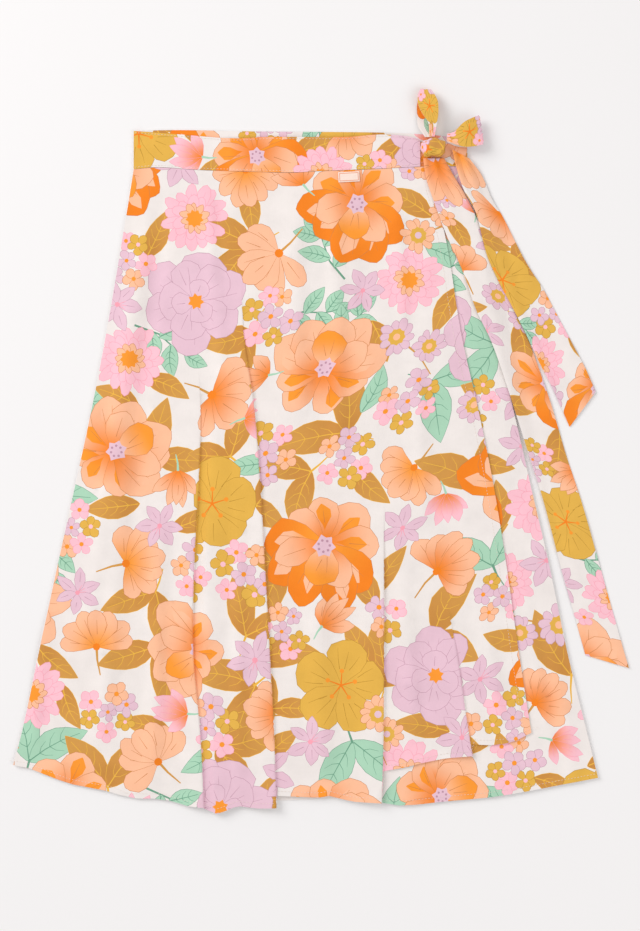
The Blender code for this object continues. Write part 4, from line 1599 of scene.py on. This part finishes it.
# %% Pieces and cuts
# node: the solid it stands for, slot: its finish, wide and long: the flat cut in metres. The three
# panels' cuts have 10 mm more at each seam and 16 mm at the hem; the doubled strips give one face.
Cut = namedtuple("Cut", "piece node slot wide long area held rests sewn")
FLOOR_NAME = "floor"
CUTS = (
    Cut(back_piece, "back_panel", "printed_cloth", 0.628, 0.684, 0.334, "laid", (FLOOR_NAME,), ()),
    Cut(under_piece, "under_front_panel", "printed_cloth", 0.407, 0.690, 0.214, "laid", (back_piece,),
        (under_sewing,)),
    Cut(over_piece, "over_front_panel", "printed_cloth", 0.559, 0.697, 0.304, "laid", (under_piece,),
        (over_sewing,)),
    Cut(band_back, "waistband_back", "printed_waistband", 0.347, 0.040, None, "laid", (FLOOR_NAME,), ()),
    Cut(band_under, "waistband_under", "printed_waistband", 0.212, 0.031, None, "laid", (band_back,), ()),
    Cut(band_front, "waistband_front", "printed_waistband", 0.298, 0.036, None, "laid", (band_under,),
        (band_sewing,)),
    Cut(tail_long, "tie_tail_long", "printed_tie", 0.040, 0.550, None, "laid", (under_piece,), ()),
    Cut(tail_short, "tie_tail_short", "printed_tie", 0.036, 0.300, None, "laid", (tail_long,), ()),
    Cut(loop_up, "bow_loop_upright", "printed_tie", 0.016, 0.105, None, "folded", (band_front,), ()),
    Cut(loop_side, "bow_loop_side", "printed_tie", 0.025, 0.085, None, "folded", (band_back,), ()),
    Cut(knot_piece, "bow_knot", "printed_tie", 0.026, 0.050, None, "folded", (tail_long,), ()),
    Cut(label_piece, "label", "woven_label", 0.022, 0.0105, None, "laid", (over_piece,), ()),
)
for cut in CUTS:
    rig.replaces(cut.piece, cut.node)
    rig.slot(cut.piece, cut.slot)
    for piece in (cut.piece, *cut.sewn):
        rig.ride(piece, "root")
    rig.sheet(cut.piece, flat=(cut.wide, cut.long), held=cut.held, rests_on=cut.rests, area=cut.area,
             with_pieces=cut.sewn)
print(len(CUTS), "sheets declared")

# %% [markdown]
# ## Floor, light and camera
# The skirt lies on a plain pale table, seen from straight above in soft, nearly shadowless light: a
# wide lamp high on the upper left, a weaker one across from it, and a pale surround.

# %% Stage
FLOOR_SIZE = 6.0
FLOOR_TOP = -0.0002    # a little below the cloth, so that the two don't share a plane
TABLE_TINT = paint("F3F1F1")


def table_top():
    """A matt painted board: nearly white and without gloss, so that the skirt's edges stand clear."""
    made = bpy.data.materials.new("matt_painted_board")
    made.use_nodes = True
    shader = made.node_tree.nodes["Principled BSDF"]
    shader.inputs["Base Color"].default_value = (*TABLE_TINT, 1)
    shader.inputs["Roughness"].default_value = 0.9
    shader.inputs["Specular IOR Level"].default_value = 0.1
    half = FLOOR_SIZE / 2
    mesh = bpy.data.meshes.new(FLOOR_NAME)
    mesh.from_pydata([(-half, -half, FLOOR_TOP), (half, -half, FLOOR_TOP), (half, half, FLOOR_TOP),
                      (-half, half, FLOOR_TOP)], [], [(0, 1, 2, 3)])
    mesh.materials.append(made)
    board = bpy.data.objects.new(FLOOR_NAME, mesh)
    bpy.context.collection.objects.link(board)
    return board


def lamp(name, place, size, watts):
    light = bpy.data.lights.new(name, "AREA")
    light.shape = "SQUARE"
    light.size = size
    light.energy = watts
    made = bpy.data.objects.new(name, light)
    made.location = place
    made.rotation_euler = (-Vector(place)).to_track_quat("-Z", "Y").to_euler()
    bpy.context.collection.objects.link(made)
    return made


KEY_WATTS = 74.0
FILL_WATTS = 16.0
SURROUND = 0.61
board = table_top()
lamp("softbox_upper_left", (-2.5, 1.7, 2.1), 2.0, KEY_WATTS)
lamp("softbox_lower_right", (1.6, -1.0, 2.1), 1.8, FILL_WATTS)
world = bpy.data.worlds.new("pale_surround")
world.use_nodes = True
world.node_tree.nodes["Background"].inputs["Color"].default_value = (1.0, 0.99, 0.985, 1)
world.node_tree.nodes["Background"].inputs["Strength"].default_value = SURROUND
bpy.context.scene.world = world
bpy.context.scene.view_settings.view_transform = "Standard"
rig.stage(board)
print("a", FLOOR_SIZE, "m floor under lamps of", KEY_WATTS, "and", FILL_WATTS, "watts")

# %% Camera, straight down
CAMERA_HEIGHT = 2.4
SEEN_LENGTH = 0.9682   # metres of table from the top to the bottom of the frame
SEEN_MIDDLE = (-0.001, -0.0146)   # the point of the table that the camera is over
eye = bpy.data.cameras.new("camera")
eye.sensor_fit = "VERTICAL"
eye.angle = 2 * math.atan(SEEN_LENGTH / 2 / CAMERA_HEIGHT)
camera = bpy.data.objects.new("camera", eye)
camera.location = (*SEEN_MIDDLE, CAMERA_HEIGHT)
bpy.context.collection.objects.link(camera)
bpy.context.scene.camera = camera
print("the camera sees", SEEN_LENGTH, "m of table from", CAMERA_HEIGHT, "m up")

# %% Sizes and finish
made_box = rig.bounds()
with open("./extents.json", "w") as file:
    json.dump({"cad": [list(corner) for corner in cad_box], "scene": [list(corner) for corner in made_box]}, file)
print("scene's box, metres:", [round(high - low, 4) for low, high in zip(*made_box)])
